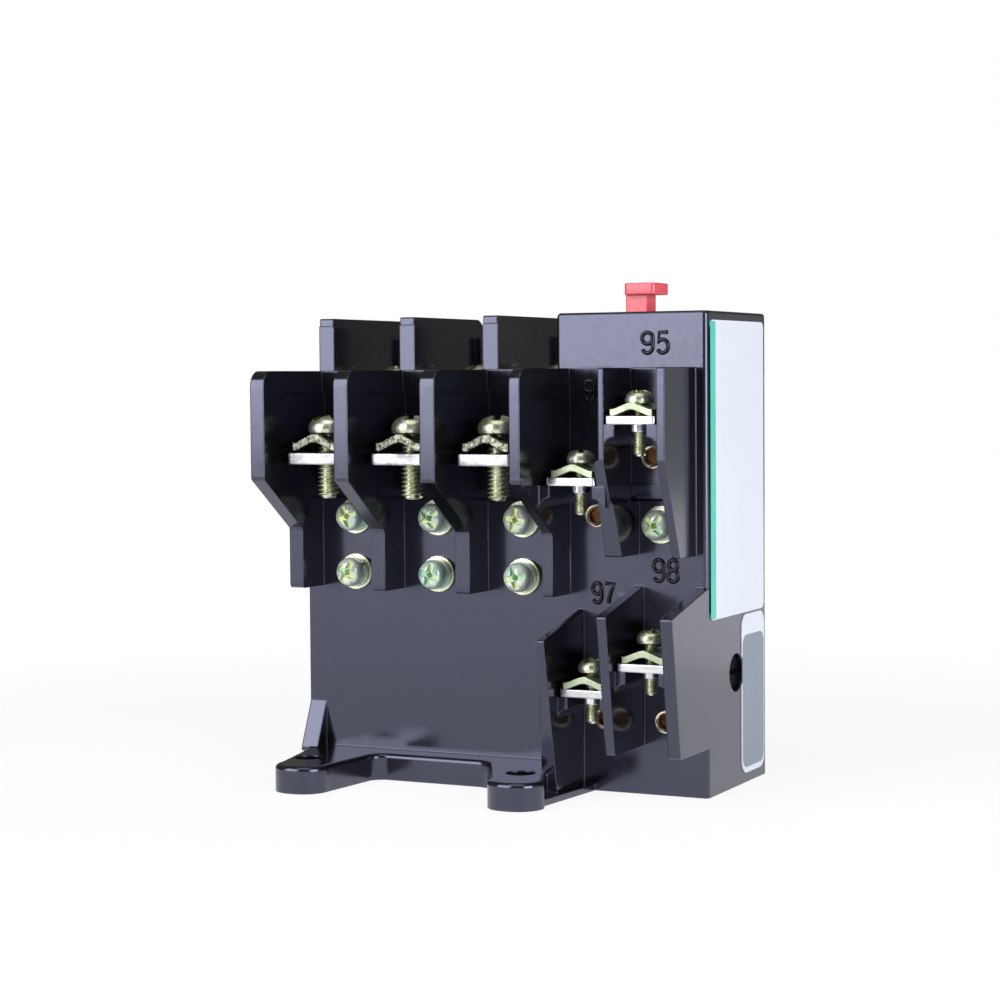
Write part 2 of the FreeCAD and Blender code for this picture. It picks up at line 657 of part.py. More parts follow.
def housing():
    """Moulded body: blocks, barriers, base, and every hollow, window and hole."""
    solids = [main_blocks(), base_half(-1), base_half(1), gusset(-1), gusset(1)]
    for index in range(POLE_COUNT):
        x0 = barrier_left(index)
        solids.append(front_barrier(x0, x0 + BARRIER))
        solids.append(rear_barrier(x0, x0 + BARRIER))
    last = barrier_left(POLE_COUNT)
    solids.append(front_barrier(last, last + LAST_BARRIER))
    solids += upper_aux_walls() + lower_aux_walls()
    for number in AUX_TERMINALS:
        solids += shoulders(number)
    body = join(solids)

    cuts = chamber_cuts() + [cover_rebate()]
    for pole in range(POLE_COUNT):
        cuts += pocket_cuts(pole)
    body = body.cut(cuts)

    inside = [screw_boss(pole)[0] for pole in range(POLE_COUNT)]
    for x, y in post_places():
        inside.append(rod(vector(x, y, COVER_TOP), vector(x, y, COVER_POST_TOP), COVER_POST))
        side_x = LEFT + WALL / 2 if x < 0 else RIGHT - WALL / 2
        side_y = FRONT + WALL / 2 if y < 0 else REAR - WALL / 2
        inside.append(box(min(x, side_x), max(x, side_x), min(y, side_y), max(y, side_y),
                          COVER_TOP, COVER_POST_TOP))
    inside.append(box(BLOCK_LEFT + PARTITION / 2, STEM_X0 + STEM_X + 4, FRONT + WALL / 2,
                      STEM_Y0 + STEM_Y + 4, SHELF_TOP - SHELF, SHELF_TOP))
    inside.append(rod(vector(DIAL_X, DIAL_Y, DIAL_BOSS_FOOT),
                      vector(DIAL_X, DIAL_Y, BLOCK_CEILING + WALL / 2), DIAL_RADIUS + 1.6))
    inside.append(rod(vector(RIGHT - MODE_BOSS, MODE_Y, MODE_HEIGHT),
                      vector(RIGHT - WALL / 2, MODE_Y, MODE_HEIGHT), MODE_RADIUS + 1.6))
    body = join([body] + inside)

    cuts = [screw_boss(pole)[1] for pole in range(POLE_COUNT)]
    for x, z in wall_screw_places():
        cuts.append(front_hole(x, z, WALL_SCREW_RADIUS + SLIDING))
    for number in AUX_TERMINALS:
        cuts += aux_cuts(number)
    for x, y in post_places():
        cuts.append(rod(vector(x, y, 0), vector(x, y, COVER_POST_TOP - 1), COVER_SCREW + RUNNING))
    cuts.append(stem_hole(SHELF_TOP - SHELF - 1, SHELF_TOP + 1))
    cuts.append(stem_hole(BLOCK_CEILING - 1, BLOCK_HEIGHT + 1))
    seat = BLOCK_HEIGHT - DIAL_THICKNESS - GAP * 2
    cuts.append(rod(vector(DIAL_X, DIAL_Y, seat), vector(DIAL_X, DIAL_Y, BLOCK_HEIGHT + 1),
                    DIAL_RADIUS + SLIDING))
    cuts.append(rod(vector(DIAL_X, DIAL_Y, DIAL_BOSS_FOOT - 1), vector(DIAL_X, DIAL_Y, seat + 1),
                    DIAL_SHAFT + RUNNING))
    cuts.append(rod(vector(RIGHT - MODE_DEPTH, MODE_Y, MODE_HEIGHT),
                    vector(RIGHT + 1, MODE_Y, MODE_HEIGHT), MODE_RADIUS))
    cuts.append(rod(vector(RIGHT - MODE_BOSS - 1, MODE_Y, MODE_HEIGHT),
                    vector(RIGHT - MODE_DEPTH + 1, MODE_Y, MODE_HEIGHT), MODE_SHANK + RUNNING))
    return body.cut(cuts)


def bottom_cover():
    """Plate that closes the body from below, with the boss of the crank pin."""
    edge = COVER_REBATE + SLIDING
    plate = slab_z(rectangle(LEFT + edge, RIGHT - edge, FRONT + edge, REAR - edge, 0),
                   COVER_RECESS, COVER_TOP)
    boss = rod(vector(CRANK_X, CRANK_Y, COVER_TOP - 1),
               vector(CRANK_X, CRANK_Y, BAR_FOOT - GAP), CRANK_HUB)
    plate = join([plate, boss])
    cuts = [rod(vector(CRANK_X, CRANK_Y, BAR_FOOT / 2), vector(CRANK_X, CRANK_Y, BAR_FOOT), CRANK_PIN)]
    for x, y in post_places():
        cuts.append(rod(vector(x, y, 0), vector(x, y, COVER_TOP + 1), COVER_SCREW + SLIDING))
        cuts.append(rod(vector(x, y, 0), vector(x, y, COVER_RECESS + COVER / 2), COVER_SCREW_HEAD + SLIDING))
    return plate.cut(cuts)


def cover_screws():
    screws = []
    for x, y in post_places():
        seat = COVER_RECESS + COVER / 2
        head = rod(vector(x, y, COVER_RECESS), vector(x, y, seat), COVER_SCREW_HEAD)
        head = head.cut(box(x - COVER_SCREW_HEAD, x + COVER_SCREW_HEAD, y - 0.3, y + 0.3, 0, seat - 0.5))
        screws.append(join([head, rod(vector(x, y, seat - 0.2), vector(x, y, COVER_POST_TOP - 2),
                                      COVER_SCREW)]))
    return Part.makeCompound(screws)


# ---- terminals --------------------------------------------------------------
def pan_screw(x, y, seat, size):
    """Slotted pan-head screw, head up, with its head on the height seat."""
    radius, length, head_radius, head_height, slot = size
    head = rod(vector(x, y, seat), vector(x, y, seat + head_height), head_radius)
    rim = [e for e in head.Edges if min(v.Z for v in e.Vertexes) > seat + head_height - 0.01]
    head = head.makeFillet(head_height * 0.3, rim)
    head = head.cut(box(x - head_radius, x + head_radius, y - slot / 2, y + slot / 2,
                        seat + head_height * 0.6, seat + head_height + 1))
    return join([head, rod(vector(x, y, seat - length), vector(x, y, seat + 0.2), radius)])


def saddle(x, y, seat, size):
    """Washer folded along Y like a shallow roof."""
    width, length, thickness, rise, bore = size
    half = width / 2
    corners = [(x - half, seat, 0), (x, seat + rise, 2.0), (x + half, seat, 0),
               (x + half, seat + thickness, 0), (x, seat + rise + thickness, 3.2),
               (x - half, seat + thickness, 0)]
    shape = slab_y(corners, y - length / 2, y + length / 2)
    return shape.cut(rod(vector(x, y, seat - 1), vector(x, y, seat + rise + thickness + 1), bore))


MAIN_SCREW = (SCREW_RADIUS, SCREW_LENGTH, HEAD_RADIUS, HEAD_HEIGHT, HEAD_SLOT)
MAIN_SADDLE = (SADDLE_WIDTH, SADDLE_LENGTH, SADDLE_THICKNESS, SADDLE_RISE, SCREW_RADIUS + SLIDING)
AUX_SCREW = (AUX_SCREW_RADIUS, AUX_SCREW_LENGTH, AUX_HEAD_RADIUS, AUX_HEAD_HEIGHT, AUX_HEAD_SLOT)
AUX_SADDLE_SHAPE = (AUX_SADDLE, AUX_SADDLE, AUX_SADDLE_THICKNESS, AUX_SADDLE_RISE, AUX_SCREW_RADIUS + SLIDING)


def load_plate(pole):
    """Load terminal: a plate outside and a leg clamped to the inside of the front wall."""
    x = pole_centre(pole)
    half = PLATE_WIDTH / 2
    flat = slab_z(rectangle(x - half, x + half, FRONT - LOAD_PLATE_REACH, LEG_BACK, 0.8),
                  LOAD_PLATE_TOP - PLATE, LOAD_PLATE_TOP)
    leg = box(x - half, x + half, INNER_FRONT, LEG_BACK, LEG_FOOT, LOAD_PLATE_TOP - EDGE_RADIUS)
    plate = join([flat, leg])
    cuts = [rod(vector(x, LOAD_SCREW_Y, WINDOW_SILL), vector(x, LOAD_SCREW_Y, WINDOW_TOP),
                SCREW_RADIUS + RUNNING)]
    for z in WALL_SCREW_HEIGHTS:
        cuts.append(front_hole(x, z, WALL_SCREW_RADIUS + RUNNING).translated(vector(0, PLATE, 0)))
    return plate.cut(cuts)


def line_plate(pole):
    """Line terminal: a plate in the pocket, a leg through its floor and the bimetal's tab."""
    x = pole_centre(pole)
    half = PLATE_WIDTH / 2
    front = LINE_PLATE_FRONT
    bottom = LINE_PLATE_TOP - PLATE
    flat = slab_z(rectangle(x - half, x + half, front, front + LINE_PLATE_LENGTH, 0.8),
                  bottom, LINE_PLATE_TOP)
    leg = box(x - LINE_LEG_WIDTH / 2, x + LINE_LEG_WIDTH / 2, front, front + LINE_LEG,
              LINE_LEG_FOOT, LINE_PLATE_TOP - EDGE_RADIUS)
    tab = box(x - TAB_THICKNESS, x, front, STRIP_REAR, TAB_FOOT, TAB_TOP)
    cuts = [rod(vector(x, LINE_SCREW_Y, bottom - 1), vector(x, LINE_SCREW_Y, LINE_PLATE_TOP + 1),
                SCREW_RADIUS + RUNNING)]
    cuts += [pin.copy() for pin in bimetal_pins(pole, RIVET_PIN + RUNNING)]
    return join([flat, leg, tab]).cut(cuts)


def bimetal_pins(pole, radius):
    """The two rivets that hold a bimetal strip and its heater on the tab."""
    x = pole_centre(pole)
    y = (STRIP_FRONT + STRIP_REAR) / 2
    heights = (TAB_FOOT + STRIP_LAP * 0.25, TAB_FOOT + STRIP_LAP * 0.6)
    return [rod(vector(x - TAB_THICKNESS - STRIP_THICKNESS - 0.4, y, z),
                vector(x + STRIP_THICKNESS + 0.4, y, z), radius) for z in heights]


def bimetal_strip(pole):
    """Bimetal: a flat strip hanging from the tab, free at its lower end."""
    x = pole_centre(pole)
    shape = box(x, x + STRIP_THICKNESS, STRIP_FRONT, STRIP_REAR, STRIP_FOOT, TAB_FOOT + STRIP_LAP)
    return shape.cut(bimetal_pins(pole, RIVET_PIN + RUNNING))


def heater(pole):
    """Heater: a flat ribbon from the load plate's leg, round behind, to the tab."""
    x = pole_centre(pole) - TAB_THICKNESS
    width = HEATER_WIDTH
    corners = [
        (LEG_BACK, HEATER_FOOT, 0), (HEATER_BACK, HEATER_FOOT, width),
        (HEATER_BACK, HEATER_TOP, width), (STRIP_FRONT, HEATER_TOP, 0),
        (STRIP_FRONT, TAB_FOOT, 0), (STRIP_REAR, TAB_FOOT, 0),
        (HEATER_BACK - width, TAB_FOOT, 0.6), (HEATER_BACK - width, HEATER_FOOT + width, 1.0),
        (LEG_BACK, HEATER_FOOT + width, 0),
    ]
    return slab_x(corners, x - STRIP_THICKNESS, x).cut(bimetal_pins(pole, RIVET_PIN + RUNNING))


def every_pole(make):
    return Part.makeCompound([make(pole) for pole in range(POLE_COUNT)])


def load_screw(pole):
    return pan_screw(pole_centre(pole), LOAD_SCREW_Y,
                     LOAD_PLATE_TOP + SADDLE_RISE + SADDLE_THICKNESS, MAIN_SCREW)


def load_saddle(pole):
    return saddle(pole_centre(pole), LOAD_SCREW_Y, LOAD_PLATE_TOP, MAIN_SADDLE)


def line_screw(pole):
    return pan_screw(pole_centre(pole), LINE_SCREW_Y,
                     LINE_PLATE_TOP + SADDLE_RISE + SADDLE_THICKNESS, MAIN_SCREW)


def line_saddle(pole):
    return saddle(pole_centre(pole), LINE_SCREW_Y, LINE_PLATE_TOP, MAIN_SADDLE)


def wall_screws():
    """Pan-head screws through the front wall, clamping the inner legs."""
    screws = []
    for x, z in wall_screw_places():
        seat = FRONT - FLAT_WASHER - SPRING_WASHER
        head = rod(vector(x, seat, z), vector(x, seat - WALL_HEAD_HEIGHT, z), WALL_HEAD_RADIUS)
        rim = [e for e in head.Edges if max(v.Y for v in e.Vertexes) < seat - WALL_HEAD_HEIGHT + 0.01]
        head = head.makeFillet(WALL_HEAD_HEIGHT * 0.4, rim)
        head = head.cut(box(x - WALL_HEAD_RADIUS, x + WALL_HEAD_RADIUS, seat - WALL_HEAD_HEIGHT - 1,
                            seat - WALL_HEAD_HEIGHT * 0.6, z - HEAD_SLOT / 2, z + HEAD_SLOT / 2))
        cross = WALL_HEAD_RADIUS / 2
        head = head.cut(box(x - HEAD_SLOT / 2, x + HEAD_SLOT / 2, seat - WALL_HEAD_HEIGHT - 1,
                            seat - WALL_HEAD_HEIGHT * 0.4, z - cross, z + cross))
        end = INNER_FRONT + FRAME_PLATE
        screws.append(join([head, rod(vector(x, seat - 0.2, z), vector(x, end, z), WALL_SCREW_RADIUS)]))
    return Part.makeCompound(screws)


def wall_washers(radius, start, thickness):
    """One ring under each wall screw, from start in front of the wall."""
    rings = []
    for x, z in wall_screw_places():
        near = vector(x, FRONT - start, z)
        far = vector(x, FRONT - start - thickness, z)
        rings.append(rod(near, far, radius).cut(rod(near, far, WALL_SCREW_RADIUS + SLIDING)))
    return Part.makeCompound(rings)


def aux_plate(number):
    """Auxiliary terminal: plate outside, tapped collar, and a leg riveted inside."""
    centre = aux_centre(number)
    _, top, reach, screw, rivet, _ = AUX_TERMINALS[number]
    half = AUX_WIDTH / 2
    foot = rivet - AUX_LEG_EXTRA
    if number == "95":
        foot = NC_HEIGHT - BRIDGE_HEIGHT / 2
    flat = slab_z(rectangle(centre - half, centre + half, FRONT - reach, AUX_LEG_BACK, 0.6),
                  top - AUX_PLATE, top)
    leg = box(centre - half, centre + half, INNER_FRONT, AUX_LEG_BACK, foot, top - AUX_PLATE / 2)
    axis = vector(centre, FRONT - screw, 0)
    collar = rod(axis + vector(0, 0, top - AUX_PLATE - AUX_COLLAR), axis + vector(0, 0, top),
                 AUX_COLLAR_RADIUS)
    plate = join([flat, leg, collar])
    return plate.cut([
        rod(axis + vector(0, 0, top - AUX_SCREW_LENGTH), axis + vector(0, 0, top + 1),
            AUX_SCREW_RADIUS + RUNNING),
        front_hole(centre - RIVET_SHIFT, rivet, RIVET_RADIUS - RIVET_FLANGE + RUNNING).translated(
            vector(0, AUX_PLATE, 0)),
    ])


def aux_screw(number):
    _, top, _, screw, _, lift = AUX_TERMINALS[number]
    seat = top + AUX_SADDLE_RISE + AUX_SADDLE_THICKNESS + lift
    return pan_screw(aux_centre(number), FRONT - screw, seat, AUX_SCREW)


def aux_saddle(number):
    _, top, _, screw, _, _ = AUX_TERMINALS[number]
    return saddle(aux_centre(number), FRONT - screw, top, AUX_SADDLE_SHAPE)


def aux_rivet(number):
    """Hollow rivet through the wall and the inner leg."""
    centre = aux_centre(number) - RIVET_SHIFT
    rivet = AUX_TERMINALS[number][4]
    face = FRONT - PAD_THICKNESS if number == "95" else FRONT
    shank = rod(vector(centre, face, rivet), vector(centre, AUX_LEG_BACK, rivet), RIVET_RADIUS - RIVET_FLANGE)
    head = rod(vector(centre, face - RIVET_FLANGE, rivet), vector(centre, face, rivet), RIVET_RADIUS)
    tail = rod(vector(centre, AUX_LEG_BACK, rivet), vector(centre, AUX_LEG_BACK + RIVET_FLANGE, rivet),
               RIVET_RADIUS)
    bore = rod(vector(centre, face - 1, rivet), vector(centre, AUX_LEG_BACK + 1, rivet), RIVET_BORE)
    return join([shank, head, tail]).cut(bore)


# ---- slide and mechanism ----------------------------------------------------
def push_bar():
    """Bar that the three bimetals push towards the control block."""
    front = PUSH_BAR_FRONT
    nose = CRANK_X - CRANK_ARM / 2 - STRIP_THICKNESS - GAP
    parts = [box(LEFT + WALL + GAP, nose, front, front + BAR_THICKNESS, BAR_FOOT, BAR_FOOT + BAR_HEIGHT)]
    for pole in range(POLE_COUNT):
        x0 = pole_centre(pole) + STRIP_THICKNESS + GAP
        parts.append(box(x0, x0 + FINGER, STRIP_FRONT + STRIP_WIDTH / 4, front,
                         BAR_FOOT, BAR_FOOT + BAR_HEIGHT))
    return join(parts).cut(lever_pin_holes())


def differential_bar():
    """Second bar, held back by any pole that stays cold."""
    rear = DIFF_BAR_REAR
    parts = [box(LEFT + WALL + GAP, BLOCK_INNER_LEFT, rear - BAR_THICKNESS, rear, BAR_FOOT,
                 BAR_FOOT + BAR_HEIGHT)]
    for pole in range(POLE_COUNT):
        x1 = pole_centre(pole) - TRIP_TRAVEL - GAP
        parts.append(box(x1 - FINGER, x1, rear, STRIP_REAR - STRIP_WIDTH / 4,
                         BAR_FOOT, BAR_FOOT + BAR_HEIGHT))
    return join(parts).cut(lever_pin_holes())


def lever_pin_places():
    x = LEFT + WALL + GAP + BAR_HEIGHT / 2
    return [(x, PUSH_BAR_FRONT + BAR_THICKNESS / 2), (x, DIFF_BAR_REAR - BAR_THICKNESS / 2)]


def lever_pin_holes():
    top = BAR_FOOT + BAR_HEIGHT
    return [rod(vector(x, y, top - BAR_HEIGHT / 2), vector(x, y, top + 1), BAR_THICKNESS / 4)
            for x, y in lever_pin_places()]


def differential_lever():
    """Lever across the two bars."""
    places = lever_pin_places()
    top = BAR_FOOT + BAR_HEIGHT
    x = places[0][0]
    shape = slab_z(rectangle(x - 2, x + 2, places[1][1] - 2, places[0][1] + 2, 2.0), top, top + BAR_THICKNESS)
    return shape.cut([rod(vector(px, py, top - 1), vector(px, py, top + 4), BAR_THICKNESS / 4)
                      for px, py in places])


def lever_pins():
    top = BAR_FOOT + BAR_HEIGHT
    return Part.makeCompound([
        rod(vector(x, y, top - BAR_HEIGHT / 2), vector(x, y, top + BAR_THICKNESS), BAR_THICKNESS / 4)
        for x, y in lever_pin_places()])


def crank_pin():
    foot = BAR_FOOT / 2
    shank = rod(vector(CRANK_X, CRANK_Y, foot), vector(CRANK_X, CRANK_Y, CRANK_TOP + GAP), CRANK_PIN)
    head = rod(vector(CRANK_X, CRANK_Y, CRANK_TOP + GAP), vector(CRANK_X, CRANK_Y, CRANK_TOP + GAP + 1),
               CRANK_PIN * 1.8)
    return join([shank, head])


def trip_crank():
    """Bell crank: the bar pushes its long arm, its short arm pushes the contact rocker."""
    half = CRANK_ARM / 2
    hub = rod(vector(CRANK_X, CRANK_Y, BAR_FOOT), vector(CRANK_X, CRANK_Y, CRANK_TOP), CRANK_HUB)
    long_arm = box(CRANK_X - half, CRANK_X + half, CRANK_Y, PUSH_BAR_FRONT + BAR_THICKNESS + 1,
                   BAR_FOOT, CRANK_TOP - 2)
    arm_front = ROCKER_Y - ROCKER_HUB + ROCKER_PLATE * 1.6 + GAP
    short_arm = box(CRANK_X, CRANK_X + CRANK_REACH, arm_front, arm_front + 2, CRANK_TOP - 7, CRANK_TOP - 3)
    crank = join([hub, long_arm, short_arm])
    return crank.cut(rod(vector(CRANK_X, CRANK_Y, 0), vector(CRANK_X, CRANK_Y, BLOCK_HEIGHT),
                         CRANK_PIN + RUNNING))


def compensating_strip():
    """Bimetal strip on the crank's long arm, which corrects for the room's warmth."""
    face = CRANK_X - CRANK_ARM / 2
    rear = PUSH_BAR_FRONT + BAR_THICKNESS + 1
    return box(face - STRIP_THICKNESS, face, rear - STRIP_WIDTH, rear, BAR_FOOT, CRANK_TOP + 12)


def rocker_places():
    """Left and right faces of the rocker hub and of its contact plates."""
    centre = aux_centre("95")
    hub = FRAME_WIDTH / 2 - EAR - SLIDING
    return centre - hub, centre + hub


def contact_rocker():
    """Rocker that opens one pair of contacts as it closes the other."""
    hub_left, hub_right = rocker_places()
    plate_left = CRANK_X + CRANK_HUB + 1
    y0 = ROCKER_Y - ROCKER_HUB + ROCKER_PLATE * 0.6
    y1 = y0 + ROCKER_PLATE
    hub = rod(vector(hub_left, ROCKER_Y, ROCKER_Z), vector(hub_right, ROCKER_Y, ROCKER_Z), ROCKER_HUB)
    spine = box(hub_left, hub_right, y0, y1, NO_HEIGHT - 2.5, NC_HEIGHT + 3)
    upper = box(plate_left, hub_right, y0, y1, NC_HEIGHT - 3, NC_HEIGHT + 3)
    lower = box(plate_left, hub_right, y0, y1, NO_HEIGHT - 2.5, CRANK_TOP)
    middle = (aux_centre("95") + aux_centre("96")) / 2
    stud = box(middle - 2, middle + 2, bridge_back("nc"), y0, NC_HEIGHT - 1.5, NC_HEIGHT + 1.5)
    low_stud = box(middle - 2, middle + 2, bridge_back("no"), y0, NO_HEIGHT - 1.5, NO_HEIGHT + 1.5)
    rocker = join([hub, spine, upper, lower, stud, low_stud])
    return rocker.cut(rod(vector(LEFT, ROCKER_Y, ROCKER_Z), vector(RIGHT, ROCKER_Y, ROCKER_Z),
                          ROCKER_PIN + RUNNING))


def bridge_back(kind):
    """Back face of a contact bridge, at rest."""
    touching = AUX_LEG_BACK + CONTACT_HEIGHT * 2 + RUNNING + BRIDGE
    return touching if kind == "nc" else touching + CONTACT_GAP


def contact_bridge(kind):
    """Bridge with a contact button on each end."""
    height = NC_HEIGHT if kind == "nc" else NO_HEIGHT
    numbers = ("95", "96") if kind == "nc" else ("97", "98")
    places = sorted(aux_centre(number) for number in numbers)
    back = bridge_back(kind)
    strip = box(places[0] - 2, places[1] + 2, back - BRIDGE, back, height - BRIDGE_HEIGHT / 2,
                height + BRIDGE_HEIGHT / 2)
    buttons = [rod(vector(x, back - BRIDGE, height), vector(x, back - BRIDGE - CONTACT_HEIGHT, height),
                   CONTACT_RADIUS) for x in places]
    return join([strip] + buttons)


def fixed_contacts():
    """Contact buttons on the inner legs of the four auxiliary plates."""
    buttons = []
    for number in AUX_TERMINALS:
        height = NC_HEIGHT if number in ("95", "96") else NO_HEIGHT
        x = aux_centre(number)
        buttons.append(rod(vector(x, AUX_LEG_BACK, height), vector(x, AUX_LEG_BACK + CONTACT_HEIGHT, height),
                           CONTACT_RADIUS))
    return Part.makeCompound(buttons)


def mechanism_frame():
    """Steel bracket behind the seventh wall screw; its ears carry the rocker pin."""
    centre = aux_centre("95")
    x0, x1 = centre - FRAME_WIDTH / 2, centre + FRAME_WIDTH / 2
    foot, top = ROCKER_Z - 4, FRAME_SCREW_HEIGHT + 3
    back = box(x0, x1, INNER_FRONT, INNER_FRONT + FRAME_PLATE, foot, top)
    ears = [box(x, x + EAR, INNER_FRONT, ROCKER_Y + 3, foot, ROCKER_Z + 4) for x in (x0, x1 - EAR)]
    pin = rod(vector(x0 - 1, ROCKER_Y, ROCKER_Z), vector(x1 + 1, ROCKER_Y, ROCKER_Z), ROCKER_PIN)
    screw = rod(vector(centre, FRONT, FRAME_SCREW_HEIGHT), vector(centre, REAR, FRAME_SCREW_HEIGHT),
                WALL_SCREW_RADIUS + RUNNING)
    return join([back] + ears).cut([pin, screw])


def rocker_pin():
    centre = aux_centre("95")
    half = FRAME_WIDTH / 2 + 0.5
    return rod(vector(centre - half, ROCKER_Y, ROCKER_Z), vector(centre + half, ROCKER_Y, ROCKER_Z),
               ROCKER_PIN)


# ---- operating parts --------------------------------------------------------
def reset_button():
    """Button head, stem through the roof and the shelf, and the collar that keeps it in."""
    x0, y0 = STEM_X0, STEM_Y0
    overhang = (BUTTON_Y - STEM_Y) / 2
    head = slab_z(rectangle(x0 + BUTTON_LIP, x0 + BUTTON_LIP + BUTTON_X, y0 - overhang,
                            y0 - overhang + BUTTON_Y, 0.9),
                  BUTTON_HEIGHT - BUTTON_THICKNESS, BUTTON_HEIGHT)
    top = [e for e in head.Edges if min(v.Z for v in e.Vertexes) > BUTTON_HEIGHT - 0.01]
    head = head.makeFillet(0.4, top)
    stem = box(x0, x0 + STEM_X, y0, y0 + STEM_Y, STEM_FOOT, BUTTON_HEIGHT - BUTTON_THICKNESS + 0.2)
    centre = vector(x0 + STEM_X / 2, y0 + STEM_Y / 2, 0)
    collar = rod(centre + vector(0, 0, COLLAR_TOP - COLLAR), centre + vector(0, 0, COLLAR_TOP), COLLAR_RADIUS)
    return join([head, stem, collar])


def reset_spring():
    """Compression spring between the shelf and the button's collar."""
    height = COLLAR_TOP - COLLAR - SHELF_TOP - 2 * (SPRING_WIRE + RUNNING)
    helix = Part.makeHelix(height / SPRING_TURNS, height, SPRING_RADIUS)
    section = Part.Wire(Part.makeCircle(SPRING_WIRE, vector(SPRING_RADIUS, 0, 0), vector(0, 1, 0)))
    wire = Part.Wire(helix).makePipeShell([section], True, True)
    return wire.translated(vector(STEM_X0 + STEM_X / 2, STEM_Y0 + STEM_Y / 2,
                                  SHELF_TOP + SPRING_WIRE + RUNNING))


def current_dial():
    """Current-setting dial: slotted head in the roof and a shaft down to the cam."""
    top = BLOCK_HEIGHT - GAP
    axis = vector(DIAL_X, DIAL_Y, 0)
    head = rod(axis + vector(0, 0, top - DIAL_THICKNESS), axis + vector(0, 0, top), DIAL_RADIUS)
    head = head.cut(box(DIAL_X - DIAL_RADIUS * 0.7, DIAL_X + DIAL_RADIUS * 0.7, DIAL_Y - 0.6, DIAL_Y + 0.6,
                        top - DIAL_THICKNESS / 2, top + 1))
    shaft = rod(axis + vector(0, 0, CAM_TOP - CAM_THICKNESS),
                axis + vector(0, 0, top - DIAL_THICKNESS / 2 - 0.1), DIAL_SHAFT)
    return join([head, shaft])


def setting_cam():
    """Eccentric cam pressed on the dial's shaft."""
    foot = vector(DIAL_X, DIAL_Y, CAM_TOP - CAM_THICKNESS)
    cam = Part.makeCylinder(CAM_RADIUS, CAM_THICKNESS, foot + vector(CAM_OFFSET, 0, 0))
    return cam.cut(Part.makeCylinder(DIAL_SHAFT, CAM_THICKNESS, foot))


def mode_screw():
    """Slotted screw in the side hole, which sets manual or automatic reset."""
    face = RIGHT - MODE_DEPTH
    head = rod(vector(face + GAP, MODE_Y, MODE_HEIGHT), vector(RIGHT - 1.2, MODE_Y, MODE_HEIGHT),
               MODE_RADIUS - SLIDING)
    head = head.cut(box(RIGHT - 2.2, RIGHT, MODE_Y - MODE_RADIUS, MODE_Y + MODE_RADIUS,
                        MODE_HEIGHT - 0.6, MODE_HEIGHT + 0.6))
    shank = rod(vector(RIGHT - MODE_BOSS - 1.5, MODE_Y, MODE_HEIGHT),
                vector(face + 1, MODE_Y, MODE_HEIGHT), MODE_SHANK)
    clip = rod(vector(RIGHT - MODE_BOSS - 1.1, MODE_Y, MODE_HEIGHT),
               vector(RIGHT - MODE_BOSS - GAP, MODE_Y, MODE_HEIGHT),
               MODE_SHANK + 1)
    return join([head, shank, clip])


def rating_label():
    return slab_x(rectangle(FRONT + LABEL_MARGIN, REAR - LABEL_MARGIN, LABEL_FOOT,
                            BLOCK_HEIGHT - LABEL_MARGIN, LABEL_RADIUS), RIGHT, RIGHT + LABEL)


def side_tag():
    """Narrow label beside the reset-mode screw, cut away round its hole."""
    tag = slab_x(rectangle(FRONT + TAG_LEFT, REAR - LABEL_MARGIN, TAG_FOOT, TAG_TOP, LABEL_RADIUS * 2),
                 RIGHT, RIGHT + LABEL)
    return tag.cut(rod(vector(RIGHT - 1, MODE_Y, MODE_HEIGHT), vector(RIGHT + 1, MODE_Y, MODE_HEIGHT),
                       MODE_RADIUS + GAP))


def nodes():
    """Every node of the relay, by name."""
    made = {
        "housing": housing(),
        "bottom_cover": bottom_cover(),
        "cover_screws": cover_screws(),
        "load_terminal_screws": every_pole(load_screw),
        "load_saddle_washers": every_pole(load_saddle),
        "line_terminal_screws": every_pole(line_screw),
        "line_saddle_washers": every_pole(line_saddle),
        "wall_screws": wall_screws(),
        "wall_spring_washers": wall_washers(SPRING_WASHER_RADIUS, FLAT_WASHER, SPRING_WASHER),
        "wall_flat_washers": wall_washers(FLAT_WASHER_RADIUS, 0, FLAT_WASHER),
        "aux_terminal_screws": Part.makeCompound([aux_screw(number) for number in AUX_TERMINALS]),
        "aux_saddle_washers": Part.makeCompound([aux_saddle(number) for number in AUX_TERMINALS]),
        "aux_rivets": Part.makeCompound([aux_rivet(number) for number in AUX_TERMINALS]),
        "fixed_contacts": fixed_contacts(),
        "bimetal_rivets": Part.makeCompound([pin for pole in range(POLE_COUNT)
                                             for pin in bimetal_pins(pole, RIVET_PIN)]),
        "push_bar": push_bar(),
        "differential_bar": differential_bar(),
        "differential_lever": differential_lever(),
        "lever_pins": lever_pins(),
        "crank_pin": crank_pin(),
        "trip_crank": trip_crank(),
        "compensating_strip": compensating_strip(),
        "mechanism_frame": mechanism_frame(),
        "rocker_pin": rocker_pin(),
        "contact_rocker": contact_rocker(),
        "nc_contact_bridge": contact_bridge("nc"),
        "no_contact_bridge": contact_bridge("no"),
        "reset_button": reset_button(),
        "reset_spring": reset_spring(),
        "current_dial": current_dial(),
        "setting_cam": setting_cam(),
        "mode_screw": mode_screw(),
        "rating_label": rating_label(),
        "side_tag": side_tag(),
    }
    for number in AUX_TERMINALS:
        made["aux_terminal_" + number] = aux_plate(number)
    for pole in range(POLE_COUNT):
        place = str(pole + 1)
        made["load_terminal_" + place] = load_plate(pole)
        made["line_terminal_" + place] = line_plate(pole)
        made["bimetal_strip_" + place] = bimetal_strip(pole)
        made["heater_" + place] = heater(pole)
    return made


os.makedirs("parts", exist_ok=True)
for name, shape in nodes().items():
    shape.exportStep("parts/" + name + ".step")
    print(name, "solids", len(shape.Solids), "valid", shape.isValid(), "volume", round(shape.Volume, 2))
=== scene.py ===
"""Looks of a three-pole thermal overload relay: finishes, fasteners, labels and studio."""

